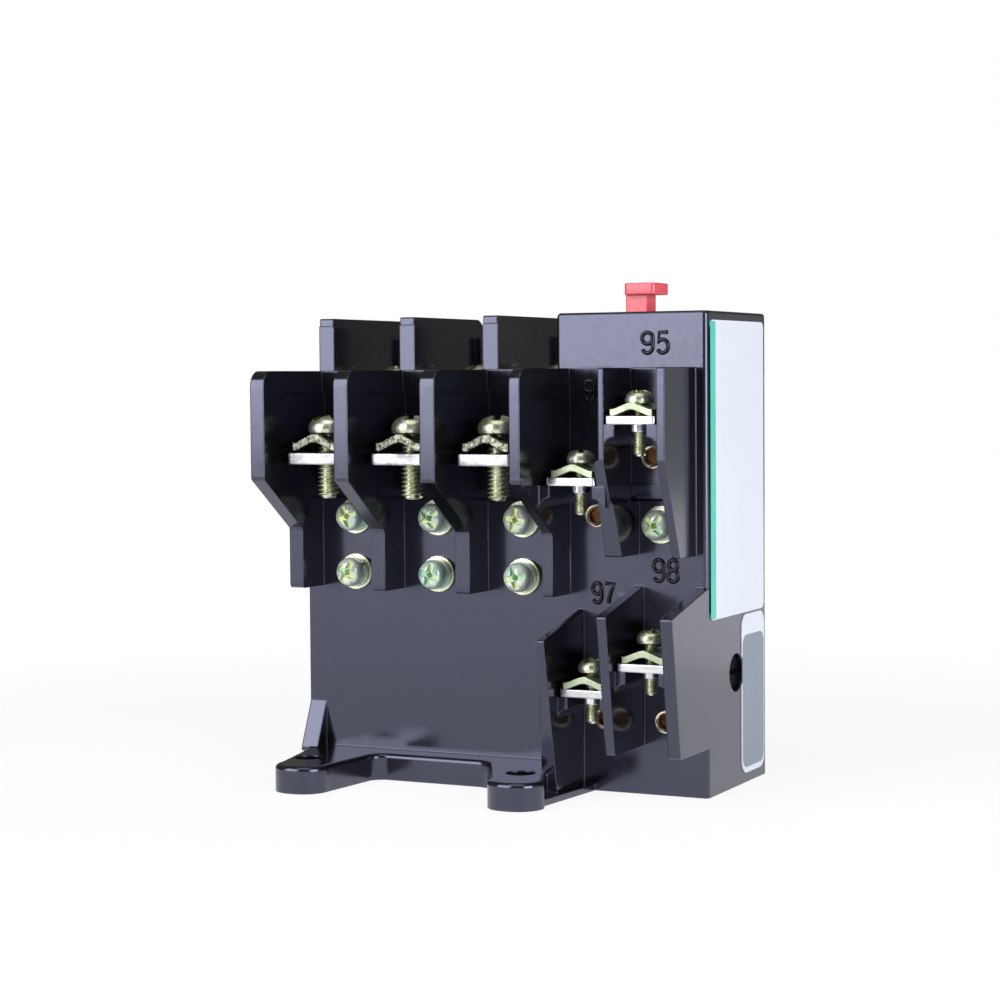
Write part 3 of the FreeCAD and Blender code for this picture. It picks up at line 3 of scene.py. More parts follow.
import logging
import math
from dataclasses import dataclass
from enum import Enum
from typing import ClassVar

import bmesh
import bpy
from mathutils import Matrix, Vector

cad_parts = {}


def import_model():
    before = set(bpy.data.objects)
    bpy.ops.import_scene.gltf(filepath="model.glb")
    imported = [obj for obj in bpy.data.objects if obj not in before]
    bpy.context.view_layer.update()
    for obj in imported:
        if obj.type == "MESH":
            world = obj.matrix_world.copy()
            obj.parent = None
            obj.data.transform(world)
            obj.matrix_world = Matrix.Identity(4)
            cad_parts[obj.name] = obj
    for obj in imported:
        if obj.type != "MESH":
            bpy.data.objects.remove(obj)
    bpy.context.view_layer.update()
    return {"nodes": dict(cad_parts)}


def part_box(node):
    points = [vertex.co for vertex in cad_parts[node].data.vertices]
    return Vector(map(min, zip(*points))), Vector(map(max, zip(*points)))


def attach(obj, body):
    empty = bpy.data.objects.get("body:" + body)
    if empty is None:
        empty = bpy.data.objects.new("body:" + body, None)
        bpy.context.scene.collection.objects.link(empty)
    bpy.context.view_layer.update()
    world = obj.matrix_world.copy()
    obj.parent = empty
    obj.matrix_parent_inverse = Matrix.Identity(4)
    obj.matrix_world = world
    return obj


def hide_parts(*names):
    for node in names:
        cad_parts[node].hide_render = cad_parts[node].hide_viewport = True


LOG = logging.getLogger("relay")
MM = 0.001
MERGE = 1e-6  # points of a CAD mesh closer than this are one, in metres
SEAM = 1e-7  # the same for the seam of a spun shape
POINT_TIP = 0.12  # blunt tip of a cross recess, as a share of its wide end
NOTCH = 0.1  # reach of a test for a corner, in millimetres
Colour = tuple[float, float, float]


class Drive(Enum):
    """Recess of a screw head."""

    SLOT = "slot"
    COMBINED = "slot and cross"


class Facing(Enum):
    """Way in which a fastener's head points."""

    UP = "up"
    FRONT = "front"

    def turn(self) -> Matrix:
        """Rotation that takes +Z to this way."""
        angle = 0.0 if self is Facing.UP else math.radians(90)
        return Matrix.Rotation(angle, 4, "X")


@dataclass(frozen=True)
class Island:
    """One loose solid of a CAD node.

    Attributes:
        low: Lowest corner.
        high: Highest corner.
    """

    low: Vector
    high: Vector

    @property
    def centre(self) -> Vector:
        """Middle of the box."""
        return (self.low + self.high) / 2

    @property
    def size(self) -> Vector:
        """Extent of the box."""
        return self.high - self.low


def merged_copy(node: bpy.types.Object) -> bmesh.types.BMesh:
    """Copies a CAD node's mesh and merges its loose triangles.

    Args:
        node: The node's object.

    Returns:
        The copy.
    """
    mesh = bmesh.new()
    mesh.from_mesh(node.data)
    bmesh.ops.remove_doubles(mesh, verts=mesh.verts, dist=MERGE)
    return mesh


def islands(node: bpy.types.Object) -> list[Island]:
    """Finds the loose solids of a CAD node.

    Args:
        node: The node's object.

    Returns:
        Their boxes, from left to right and then upwards.
    """
    mesh = merged_copy(node)
    found: list[Island] = []
    waiting = set(mesh.verts)
    while waiting:
        stack = [waiting.pop()]
        points = []
        while stack:
            vert = stack.pop()
            points.append(vert.co.copy())
            for edge in vert.link_edges:
                other = edge.other_vert(vert)
                if other in waiting:
                    waiting.discard(other)
                    stack.append(other)
        low = Vector([min(p[i] for p in points) for i in range(3)])
        high = Vector([max(p[i] for p in points) for i in range(3)])
        found.append(Island(low, high))
    mesh.free()
    return sorted(found, key=lambda item: (round(item.centre.x, 4), item.centre.z))


def linked(name: str, data: bpy.types.ID) -> bpy.types.Object:
    """Makes an object for a mesh, curve, lamp or camera and links it.

    Args:
        name: Name of the object.
        data: What the object shows.

    Returns:
        The new object, at the origin.
    """
    made = bpy.data.objects.new(name, data)
    bpy.context.scene.collection.objects.link(made)
    return made


def new_object(name: str, mesh: bmesh.types.BMesh) -> bpy.types.Object:
    """Turns a finished bmesh into a linked object at the origin.

    Args:
        name: Name of the piece.
        mesh: The geometry; it is freed.

    Returns:
        The new object.
    """
    data = bpy.data.meshes.new(name)
    mesh.to_mesh(data)
    mesh.free()
    return linked(name, data)


def applied(item: bpy.types.Object) -> bpy.types.Mesh:
    """Makes a plain mesh of an object with its modifiers or curve settings applied.

    Args:
        item: The object, which stays.

    Returns:
        The new mesh.
    """
    bpy.context.view_layer.update()
    graph = bpy.context.evaluated_depsgraph_get()
    return bpy.data.meshes.new_from_object(item.evaluated_get(graph))


def carve(solid: bmesh.types.BMesh, cutters: list[bmesh.types.BMesh]) -> bmesh.types.BMesh:
    """Cuts shapes out of a closed mesh; the faces that a cut leaves get material 1.

    Args:
        solid: The closed mesh; it is freed.
        cutters: Closed meshes to take away; they are freed.

    Returns:
        The carved mesh.
    """
    body = new_object("carved", solid)
    tools = [new_object("cutter", cutter) for cutter in cutters]
    for item in (body, *tools):
        for name in ("outside", "recess"):
            known = bpy.data.materials.get(name)
            item.data.materials.append(known or bpy.data.materials.new(name))
    for tool in tools:
        for face in tool.data.polygons:
            face.material_index = 1
        change = body.modifiers.new("cut", "BOOLEAN")
        change.operation = "DIFFERENCE"
        change.solver = "EXACT"
        change.object = tool
    data = applied(body)
    carved = bmesh.new()
    carved.from_mesh(data)
    bpy.data.meshes.remove(data)
    for item in (body, *tools):
        bpy.data.objects.remove(item)
    return carved


def revolved(profile: list[tuple[float, float]], steps: int = 48,
             closed: bool = False) -> bmesh.types.BMesh:
    """Spins a section of (radius, height) points a full turn about Z.

    Args:
        profile: Points in millimetres, from the bottom of the axis to its top, or round a ring.
        steps: Steps of the full turn.
        closed: Whether the section is a ring's, which joins its last point to its first.

    Returns:
        The mesh, in metres.
    """
    mesh = bmesh.new()
    verts = [mesh.verts.new((r * MM, 0.0, z * MM)) for r, z in profile]
    ends = verts[1:] + verts[:1] if closed else verts[1:]
    edges = [mesh.edges.new(pair) for pair in zip(verts, ends)]
    bmesh.ops.spin(mesh, geom=verts + edges, cent=(0, 0, 0), axis=(0, 0, 1), angle=math.tau,
                   steps=steps, use_merge=True)
    bmesh.ops.remove_doubles(mesh, verts=mesh.verts, dist=SEAM)
    bmesh.ops.recalc_face_normals(mesh, faces=mesh.faces)
    return mesh


def coil(mesh: bmesh.types.BMesh, section: list[tuple[float, float]], turn: float, rise: float,
         steps: int) -> None:
    """Sweeps a section along a helix about Z into a mesh.

    Args:
        mesh: The mesh that takes the coil.
        section: (radius, height) corners in millimetres.
        turn: Angle of the whole sweep, in radians.
        rise: Height that each step gains, in millimetres.
        steps: Number of steps.
    """
    verts = [mesh.verts.new((r * MM, 0, z * MM)) for r, z in section]
    face = mesh.faces.new(verts)
    bmesh.ops.spin(mesh, geom=[face, *face.edges, *verts], cent=(0, 0, 0), axis=(0, 0, 1),
                   dvec=(0, 0, rise * MM), angle=turn, steps=steps, use_merge=False)
    bmesh.ops.recalc_face_normals(mesh, faces=mesh.faces)


def block(low: Vector, high: Vector) -> bmesh.types.BMesh:
    """Makes a closed box.

    Args:
        low: Lowest corner, in millimetres.
        high: Highest corner.

    Returns:
        The mesh, in metres.
    """
    mesh = bmesh.new()
    bmesh.ops.create_cube(mesh, size=1.0)
    bmesh.ops.scale(mesh, vec=(high - low) * MM, verts=mesh.verts)
    bmesh.ops.translate(mesh, vec=(low + high) / 2 * MM, verts=mesh.verts)
    return mesh


def star_point(half: float, foot: float, top: float) -> bmesh.types.BMesh:
    """Makes the four-sided blunt point that deepens the middle of a cross recess.

    Args:
        half: Half its width across corners at the top, in millimetres.
        foot: Height of the tip.
        top: Height of the wide end.

    Returns:
        The mesh, in metres.
    """
    mesh = bmesh.new()
    bmesh.ops.create_cone(mesh, cap_ends=True, segments=4, radius1=POINT_TIP,
                          radius2=1.0, depth=1.0)
    bmesh.ops.scale(mesh, vec=(half * MM, half * MM, (top - foot) * MM), verts=mesh.verts)
    bmesh.ops.translate(mesh, vec=(0, 0, (top + foot) / 2 * MM), verts=mesh.verts)
    bmesh.ops.recalc_face_normals(mesh, faces=mesh.faces)
    return mesh


def joined(first: bmesh.types.BMesh, second: bmesh.types.BMesh) -> bmesh.types.BMesh:
    """Puts one mesh into another.

    Args:
        first: The mesh that grows.
        second: The mesh that it takes in; it is freed.

    Returns:
        The first mesh.
    """
    data = bpy.data.meshes.new("part")
    second.to_mesh(data)
    second.free()
    first.from_mesh(data)
    bpy.data.meshes.remove(data)
    return first


def stamped(mesh: bmesh.types.BMesh, places: list[Matrix]) -> bmesh.types.BMesh:
    """Repeats a mesh at several places in one new mesh.

    Args:
        mesh: The geometry to repeat; it is freed.
        places: One transform for each copy.

    Returns:
        The joined copies.
    """
    pattern = bpy.data.meshes.new("pattern")
    mesh.to_mesh(pattern)
    mesh.free()
    copies = bmesh.new()
    for place in places:
        start = len(copies.verts)
        copies.from_mesh(pattern)
        copies.verts.ensure_lookup_table()
        bmesh.ops.transform(copies, matrix=place, verts=copies.verts[start:])
    bpy.data.meshes.remove(pattern)
    return copies


def smooth(piece: bpy.types.Object, angle: float = 35.0) -> None:
    """Shades a piece smooth except across its sharp edges.

    Args:
        piece: The piece to shade.
        angle: Angle from which an edge stays sharp, in degrees.
    """
    piece.data.shade_smooth()
    piece.data.set_sharp_from_angle(angle=math.radians(angle))


# ---- materials ----------------------------------------------------------------
class Tree:
    """Small helper that adds and links nodes of one node tree."""

    def __init__(self, tree: bpy.types.NodeTree) -> None:
        """Keeps the tree that nodes go into."""
        self.tree = tree

    def add(self, kind: str, **values: object) -> bpy.types.Node:
        """Adds a node and sets its attributes and inputs.

        Args:
            kind: Type name without the ShaderNode prefix.
            **values: Attribute values, or under in_NAME what feeds that input.

        Returns:
            The node.
        """
        node = self.tree.nodes.new("ShaderNode" + kind)
        for key, value in values.items():
            if key.startswith("in_"):
                self.feed(node, {key[3:].replace("_", " "): value})
            else:
                setattr(node, key, value)
        return node

    def feed(self, node: bpy.types.Node, inputs: dict[str | int, object]) -> bpy.types.Node:
        """Links sockets to inputs, or sets the inputs' values.

        Args:
            node: The node.
            inputs: A socket or a value for each input, by name or number.

        Returns:
            The node.
        """
        for name, value in inputs.items():
            if isinstance(value, bpy.types.NodeSocket):
                self.tree.links.new(value, node.inputs[name])
            else:
                node.inputs[name].default_value = value
        return node


class SurfaceVariation:
    """Node group with a broad mottle, a fine speckle and a height for a bump."""

    NAME = "surface variation"
    INPUTS = (("Mottle Scale", 60.0), ("Speckle Scale", 1500.0), ("Stretch", 1.0))
    SPECKLE_SHARE = 0.35  # of the fine speckle in the height

    @classmethod
    def group(cls) -> bpy.types.NodeTree:
        """Builds the group on its first use.

        Returns:
            The group.
        """
        if cls.NAME in bpy.data.node_groups:
            return bpy.data.node_groups[cls.NAME]
        group = bpy.data.node_groups.new(cls.NAME, "ShaderNodeTree")
        for name, value in cls.INPUTS:
            socket = group.interface.new_socket(name, in_out="INPUT",
                                                socket_type="NodeSocketFloat")
            socket.default_value = value
        for name in ("Mottle", "Speckle", "Height"):
            group.interface.new_socket(name, in_out="OUTPUT", socket_type="NodeSocketFloat")
        tree = Tree(group)
        start = group.nodes.new("NodeGroupInput").outputs
        scale = tree.add("CombineXYZ", in_X=start["Stretch"], in_Y=1.0, in_Z=1.0).outputs["Vector"]
        place = tree.add("TexCoord").outputs["Object"]
        spot = tree.add("Mapping", in_Vector=place, in_Scale=scale).outputs["Vector"]
        broad = tree.add("TexNoise", in_Vector=spot, in_Scale=start["Mottle Scale"],
                         in_Detail=4.0, in_Roughness=0.6).outputs["Fac"]
        fine = tree.add("TexNoise", in_Vector=spot, in_Scale=start["Speckle Scale"],
                        in_Detail=2.0, in_Roughness=0.5).outputs["Fac"]
        blend = tree.feed(tree.add("Math", operation="MULTIPLY_ADD"),
                          {0: fine, 1: cls.SPECKLE_SHARE, 2: broad})
        tree.feed(group.nodes.new("NodeGroupOutput"),
                  {"Mottle": broad, "Speckle": fine, "Height": blend.outputs[0]})
        return group


@dataclass(frozen=True)
class Finish:
    """One procedural finish.

    Attributes:
        name: Name of the finish.
        dark: Colour where the mottle is low.
        light: Colour where the mottle is high.
        metallic: 1 for bare metal.
        rough: Lowest and highest roughness.
        ior: Index of refraction.
        mottle: Scale of the broad mottle, per metre.
        speckle: Scale of the fine speckle, per metre.
        stretch: Stretch of the pattern along X.
        bump: Strength of the bump.
        edge: Radius in millimetres by which sharp edges look rounded.
        tint: Colour of the reflection.
        relief: Depth in millimetres that the bump stands for.
    """

    name: str
    dark: Colour
    light: Colour
    metallic: float = 0.0
    rough: tuple[float, float] = (0.3, 0.4)
    ior: float = 1.5
    mottle: float = 60.0
    speckle: float = 1500.0
    stretch: float = 1.0
    bump: float = 0.05
    edge: float = 0.0
    tint: Colour = (1.0, 1.0, 1.0)
    relief: float = 0.1

    def material(self) -> bpy.types.Material:
        """Builds the material on its first use.

        Returns:
            The material.
        """
        if self.name in bpy.data.materials:
            return bpy.data.materials[self.name]
        made = bpy.data.materials.new(self.name)
        made.use_nodes = True
        made.node_tree.nodes.clear()
        tree = Tree(made.node_tree)
        surface = tree.add("Group", node_tree=SurfaceVariation.group())
        tree.feed(surface, {"Mottle Scale": self.mottle, "Speckle Scale": self.speckle,
                            "Stretch": self.stretch})
        colour = tree.add("ValToRGB", in_Fac=surface.outputs["Mottle"])
        stops = colour.color_ramp.elements
        for stop, place, paint in zip(stops, (0.36, 0.64), (self.dark, self.light)):
            stop.position = place
            stop.color = (*paint, 1.0)
        rough = tree.add("MapRange", in_Value=surface.outputs["Speckle"], in_From_Min=0.3,
                         in_From_Max=0.7, in_To_Min=self.rough[0], in_To_Max=self.rough[1])
        bump = tree.add("Bump", in_Strength=self.bump, in_Distance=self.relief * MM,
                        in_Height=surface.outputs["Height"])
        if self.edge:
            rounded = tree.add("Bevel", samples=6, in_Radius=self.edge * MM)
            tree.feed(bump, {"Normal": rounded.outputs["Normal"]})
        shader = tree.add("BsdfPrincipled", in_Metallic=self.metallic, in_IOR=self.ior,
                          in_Specular_Tint=(*self.tint, 1.0), in_Base_Color=colour.outputs["Color"],
                          in_Roughness=rough.outputs["Result"], in_Normal=bump.outputs["Normal"])
        tree.add("OutputMaterial", in_Surface=shader.outputs["BSDF"])
        return made

    def dress(self, piece: bpy.types.Object, recess: "Finish | None" = None) -> None:
        """Puts the finish on a piece.

        Args:
            piece: The piece to dress.
            recess: Finish for the faces with material 1, if it is another one.
        """
        slots = [face.material_index for face in piece.data.polygons]
        piece.data.materials.clear()
        piece.data.materials.append(self.material())
        if recess:
            piece.data.materials.append(recess.material())
            piece.data.polygons.foreach_set("material_index", slots)


PHENOLIC = Finish("black phenolic moulding", (0.0045, 0.0045, 0.0048), (0.007, 0.007, 0.0075),
                  rough=(0.13, 0.19), ior=2.0, mottle=35.0, speckle=900.0, bump=0.02, edge=0.45,
                  tint=(0.68, 0.71, 1.0))
NUMERAL = Finish("raised numerals", (0.004, 0.004, 0.005), (0.007, 0.007, 0.008),
                 rough=(0.16, 0.22), ior=1.45, tint=(0.75, 0.8, 1.0))
COVER = Finish("matt black cover", (0.02, 0.02, 0.021), (0.028, 0.028, 0.03), rough=(0.45, 0.6),
               bump=0.2, edge=0.2)
TINNED = Finish("tinned terminal plate", (0.6, 0.6, 0.64), (0.86, 0.86, 0.88), metallic=1.0,
                rough=(0.16, 0.3), mottle=260.0, stretch=0.4, bump=0.35, edge=0.45)
PLATED = Finish("worn terminal plate", (0.22, 0.22, 0.24), (0.75, 0.75, 0.78), metallic=1.0,
                rough=(0.2, 0.34), mottle=230.0, stretch=0.6, bump=0.4, edge=0.6)
CHROMATE = Finish("yellow chromated zinc", (0.58, 0.63, 0.38), (0.95, 0.96, 0.82), metallic=0.9,
                  rough=(0.22, 0.36), mottle=420.0, bump=0.15, edge=0.15)
# Darker chromate on the faces that a cut recess leaves: painted shade inside the screw recesses.
CHROMATE_SLOT_SHADE = Finish("yellow chromate, painted shade in recesses", (0.25, 0.3, 0.06), (0.62, 0.64, 0.3),
                       metallic=1.0, rough=(0.3, 0.45), mottle=600.0, bump=0.2)
CHROMATE_PALE = Finish("pale chromated sheet", (0.4, 0.47, 0.31), (0.54, 0.62, 0.45),
                       metallic=0.85, rough=(0.26, 0.42), mottle=300.0, bump=0.1, edge=0.3)
CHROMATE_GREEN = Finish("green chromated zinc", (0.72, 0.95, 0.86), (1.0, 1.0, 0.88),
                        metallic=0.35, rough=(0.1, 0.22), mottle=110.0, bump=0.15, edge=0.15)
# Darker green chromate on the faces of a cut recess: painted shade inside the wall screws'
# recesses.
CHROMATE_GREEN_SLOT_SHADE = Finish("green chromate, painted shade in recesses", (0.32, 0.58, 0.42), (0.72, 0.8, 0.42),
                             metallic=0.5, rough=(0.3, 0.45), mottle=160.0, bump=0.2)
KNURLED = Finish("knurled chromated steel", (0.04, 0.04, 0.028), (0.5, 0.5, 0.41), metallic=1.0,
                 rough=(0.22, 0.4), mottle=1300.0, speckle=2600.0, bump=0.7, edge=0.3,
                 relief=0.25)
EYELET = Finish("pale rolled brass rim", (0.86, 0.74, 0.56), (0.97, 0.92, 0.82), metallic=1.0,
                rough=(0.2, 0.3), mottle=500.0)
# Dark brown on the funnel inside a rivet's bore: painted shade in the bore.
EYELET_BORE_SHADE = Finish("rivet bore painted brown as shade", (0.09, 0.04, 0.012), (0.3, 0.15, 0.05), metallic=0.6,
                     rough=(0.35, 0.5), mottle=500.0)
STEEL = Finish("plain steel", (0.5, 0.5, 0.52), (0.62, 0.62, 0.64), metallic=1.0,
               rough=(0.25, 0.4), mottle=300.0)
BIMETAL = Finish("rolled bimetal", (0.5, 0.47, 0.42), (0.64, 0.6, 0.54), metallic=1.0,
                 rough=(0.3, 0.45), mottle=200.0, stretch=0.2, bump=0.1)
HEATER = Finish("heater ribbon", (0.33, 0.3, 0.28), (0.5, 0.47, 0.44), metallic=1.0,
                rough=(0.35, 0.5))
BRASS = Finish("brass eyelet", (0.62, 0.38, 0.14), (0.9, 0.68, 0.36), metallic=1.0,
               rough=(0.18, 0.3), mottle=500.0, edge=0.15)
BRONZE = Finish("phosphor bronze", (0.55, 0.32, 0.18), (0.7, 0.45, 0.28), metallic=1.0,
                rough=(0.25, 0.4))
SILVER = Finish("silver contact", (0.8, 0.8, 0.8), (0.92, 0.92, 0.92), metallic=1.0,
                rough=(0.2, 0.35))
GUIDE = Finish("natural guide plastic", (0.66, 0.63, 0.55), (0.76, 0.73, 0.66), rough=(0.4, 0.55),
               edge=0.15)
BUTTON = Finish("red button plastic", (0.97, 0.085, 0.13), (1.0, 0.1, 0.15), rough=(0.24, 0.28),
                ior=1.7, mottle=60.0, speckle=300.0, bump=0.01, edge=0.5)
DIAL = Finish("white dial plastic", (0.76, 0.76, 0.74), (0.84, 0.84, 0.82), rough=(0.35, 0.5),
              edge=0.2)
# Near black on the mode screw: painted shade of the hole in which it sits.
SCREW_HOLE_SHADE = Finish("screw painted black as hole shade", (0.003, 0.003, 0.004), (0.006, 0.006, 0.007),
                rough=(0.5, 0.65), ior=1.2)
LABEL = Finish("white label film", (0.86, 0.9, 0.98), (0.88, 0.92, 1.0), rough=(0.35, 0.45),
               mottle=40.0, bump=0.02)
STRIPE = Finish("turquoise label stripe", (0.08, 0.64, 0.5), (0.1, 0.68, 0.54),
                rough=(0.35, 0.45), mottle=80.0, bump=0.02)
PANEL = Finish("grey label panel", (0.28, 0.31, 0.38), (0.3, 0.33, 0.4), rough=(0.4, 0.5),
               mottle=60.0, bump=0.02)

CAD_FINISHES: dict[str, Finish] = {
    "housing": PHENOLIC, "bottom_cover": COVER, "cover_screws": CHROMATE, "fixed_contacts": SILVER,
    "bimetal_rivets": BRASS, "push_bar": GUIDE, "differential_bar": GUIDE,
    "differential_lever": GUIDE,
    "lever_pins": STEEL, "crank_pin": STEEL, "trip_crank": GUIDE, "compensating_strip": BIMETAL,
    "mechanism_frame": TINNED, "rocker_pin": STEEL, "contact_rocker": GUIDE,
    "nc_contact_bridge": BRONZE,
    "no_contact_bridge": BRONZE, "reset_spring": STEEL, "current_dial": DIAL,
    "setting_cam": BRASS, "mode_screw": SCREW_HOLE_SHADE, "aux_rivets": BRASS,
}
CAD_PREFIXES: dict[str, Finish] = {
    "load_terminal_": PLATED, "line_terminal_": TINNED, "aux_terminal_9": TINNED,
    "bimetal_strip_": BIMETAL,
    "heater_": HEATER,
}


# ---- fasteners -----------------------------------------------------------------
def stand_in(node: str, mesh: bmesh.types.BMesh, places: list[Matrix], angle: float,
             finish: Finish, recess: Finish | None = None) -> bpy.types.Object:
    """Makes the piece that stands for a CAD node of several like solids.

    Args:
        node: Name of the CAD node.
        mesh: One of the solids in detail; it is freed.
        places: One transform for each solid.
        angle: Angle from which an edge stays sharp, in degrees.
        finish: Finish of the piece.
        recess: Finish for the faces with material 1, if it is another one.

    Returns:
        The piece.
    """
    piece = new_object(node + "_detail", stamped(mesh, places))
    smooth(piece, angle)
    finish.dress(piece, recess)
    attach(piece, "relay_body")
    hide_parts(node)
    return piece


@dataclass
class PanScrew:
    """Domed screw with a cut recess and a rolled thread.

    Attributes:
        head_radius: Radius of the head, in millimetres.
        head_height: Height of the head.
        shank_radius: Radius of the thread's crests.
        length: Length below the head.
        pitch: Pitch of the thread.
        slot: Width of the slot.
        drive: Recess of the head.
    """

    RIM: ClassVar[float] = 0.24  # height of the upright rim, as a share of the head's
    DOME_STEPS: ClassVar[int] = 12
    SLOT_FLOOR: ClassVar[float] = 0.74  # the floors too are shares of the head's height
    CROSS_FLOOR: ClassVar[float] = 0.66
    POINT_FLOOR: ClassVar[float] = 0.3
    POINT_TOP: ClassVar[float] = 1.05
    CROSS_REACH: ClassVar[float] = 0.74  # reaches and widths are shares of the head's radius
    CROSS_HALF: ClassVar[float] = 0.2
    POINT_HALF: ClassVar[float] = 0.5
    SLOT_REACH: ClassVar[float] = 1.2
    THREAD_DEPTH: ClassVar[float] = 0.78  # as a share of the pitch
    TURN_STEPS: ClassVar[int] = 20

    head_radius: float
    head_height: float
    shank_radius: float
    length: float
    pitch: float
    slot: float
    drive: Drive

    def bar(self, half_x: float, half_y: float, floor: float) -> bmesh.types.BMesh:
        """Makes a cutter for one arm of the recess.

        Args:
            half_x: Half its length along X, in millimetres.
            half_y: Half its length along Y.
            floor: Height of the cut's floor.

        Returns:
            The closed cutter, which stands out above the head.
        """
        return block(Vector((-half_x, -half_y, floor)),
                     Vector((half_x, half_y, self.head_height + 1)))

    def head(self) -> bmesh.types.BMesh:
        """Makes the domed head with its recess, seated on height 0.

        Returns:
            The head, with material 1 in the recess.
        """
        r, h = self.head_radius, self.head_height
        rim = self.RIM * h
        turns = [math.radians(90 / self.DOME_STEPS * step) for step in range(self.DOME_STEPS)]
        dome = [(r * math.cos(a) ** 0.86, rim + (h - rim) * math.sin(a) ** 0.94) for a in turns]
        solid = revolved([(0, 0), (r * 0.88, 0), (r * 0.97, 0.07 * h), *dome, (0, h)])
        cutters = [self.bar(r * self.SLOT_REACH, self.slot / 2, h * self.SLOT_FLOOR)]
        if self.drive is Drive.COMBINED:
            reach, half, floor = r * self.CROSS_REACH, r * self.CROSS_HALF, h * self.CROSS_FLOOR
            cutters += [self.bar(reach, half, floor), self.bar(half, reach, floor),
                        star_point(r * self.POINT_HALF, h * self.POINT_FLOOR, h * self.POINT_TOP)]
        return carve(solid, cutters)

    def shank(self) -> bmesh.types.BMesh:
        """Makes the core and the helical thread below the head.

        Returns:
            The shank.
        """
        core = self.shank_radius - self.THREAD_DEPTH * self.pitch
        end = -self.length
        mesh = revolved([(0, end), (core * 0.75, end), (core, end + 0.4), (core, 0.1), (0, 0.1)],
                        steps=24)
        base = end + 0.1
        root, crest = core - 0.05, self.shank_radius
        section = [(root, base), (crest, base + self.pitch * 0.4),
                   (crest, base + self.pitch * 0.52), (root, base + self.pitch * 0.92)]
        turns = (self.length - self.pitch * 1.2) / self.pitch
        count = int(turns * self.TURN_STEPS)
        coil(mesh, section, math.tau * count / self.TURN_STEPS, self.pitch / self.TURN_STEPS, count)
        return mesh

    def build(self) -> bmesh.types.BMesh:
        """Joins the head and the shank."""
        return joined(self.head(), self.shank())


@dataclass
class ScrewSet:
    """The screws of one CAD node, rebuilt in detail.

    Attributes:
        node: Name of the CAD node.
        head_height: Height of the head, in millimetres.
        facing: Way the heads point.
        drive: Recess of the heads.
        shank_radius: Radius of the thread.
        pitch: Pitch of the thread.
        slot: Width of the slot.
        finish: Finish of the screws.
        recess: Finish inside the slots, darker to paint the shade in them.
        spins: Turn of each head about its axis, in degrees.
        slim: Head radius as a share of the CAD head's.
        proud: How far the head stands out beyond the CAD head, in millimetres.
    """

    node: str
    head_height: float
    facing: Facing
    drive: Drive
    shank_radius: float
    pitch: float
    slot: float
    finish: Finish
    recess: Finish
    spins: tuple[float, ...]
    slim: float = 1.0
    proud: float = 0.0

    def build(self, nodes: dict[str, bpy.types.Object]) -> bpy.types.Object:
        """Makes one piece that stands for the node.

        Args:
            nodes: The CAD nodes by name.

        Returns:
            The piece.
        """
        found = islands(nodes[self.node])
        sample = found[0]
        up = self.facing is Facing.UP
        radius = sample.size.x / 2 / MM * self.slim
        whole = (sample.size.z if up else sample.size.y) / MM
        sunk = self.proud - self.head_height
        screw = PanScrew(radius, self.head_height, self.shank_radius, whole + sunk, self.pitch,
                         self.slot, self.drive)
        places = []
        for index, item in enumerate(found):
            seat = item.centre.copy()
            if up:
                seat.z = item.high.z + sunk * MM
            else:
                seat.y = item.low.y - sunk * MM
            spin = Matrix.Rotation(math.radians(self.spins[index % len(self.spins)]), 4, "Z")
            places.append(Matrix.Translation(seat) @ self.facing.turn() @ spin)
        return stand_in(self.node, screw.build(), places, 40, self.finish, self.recess)


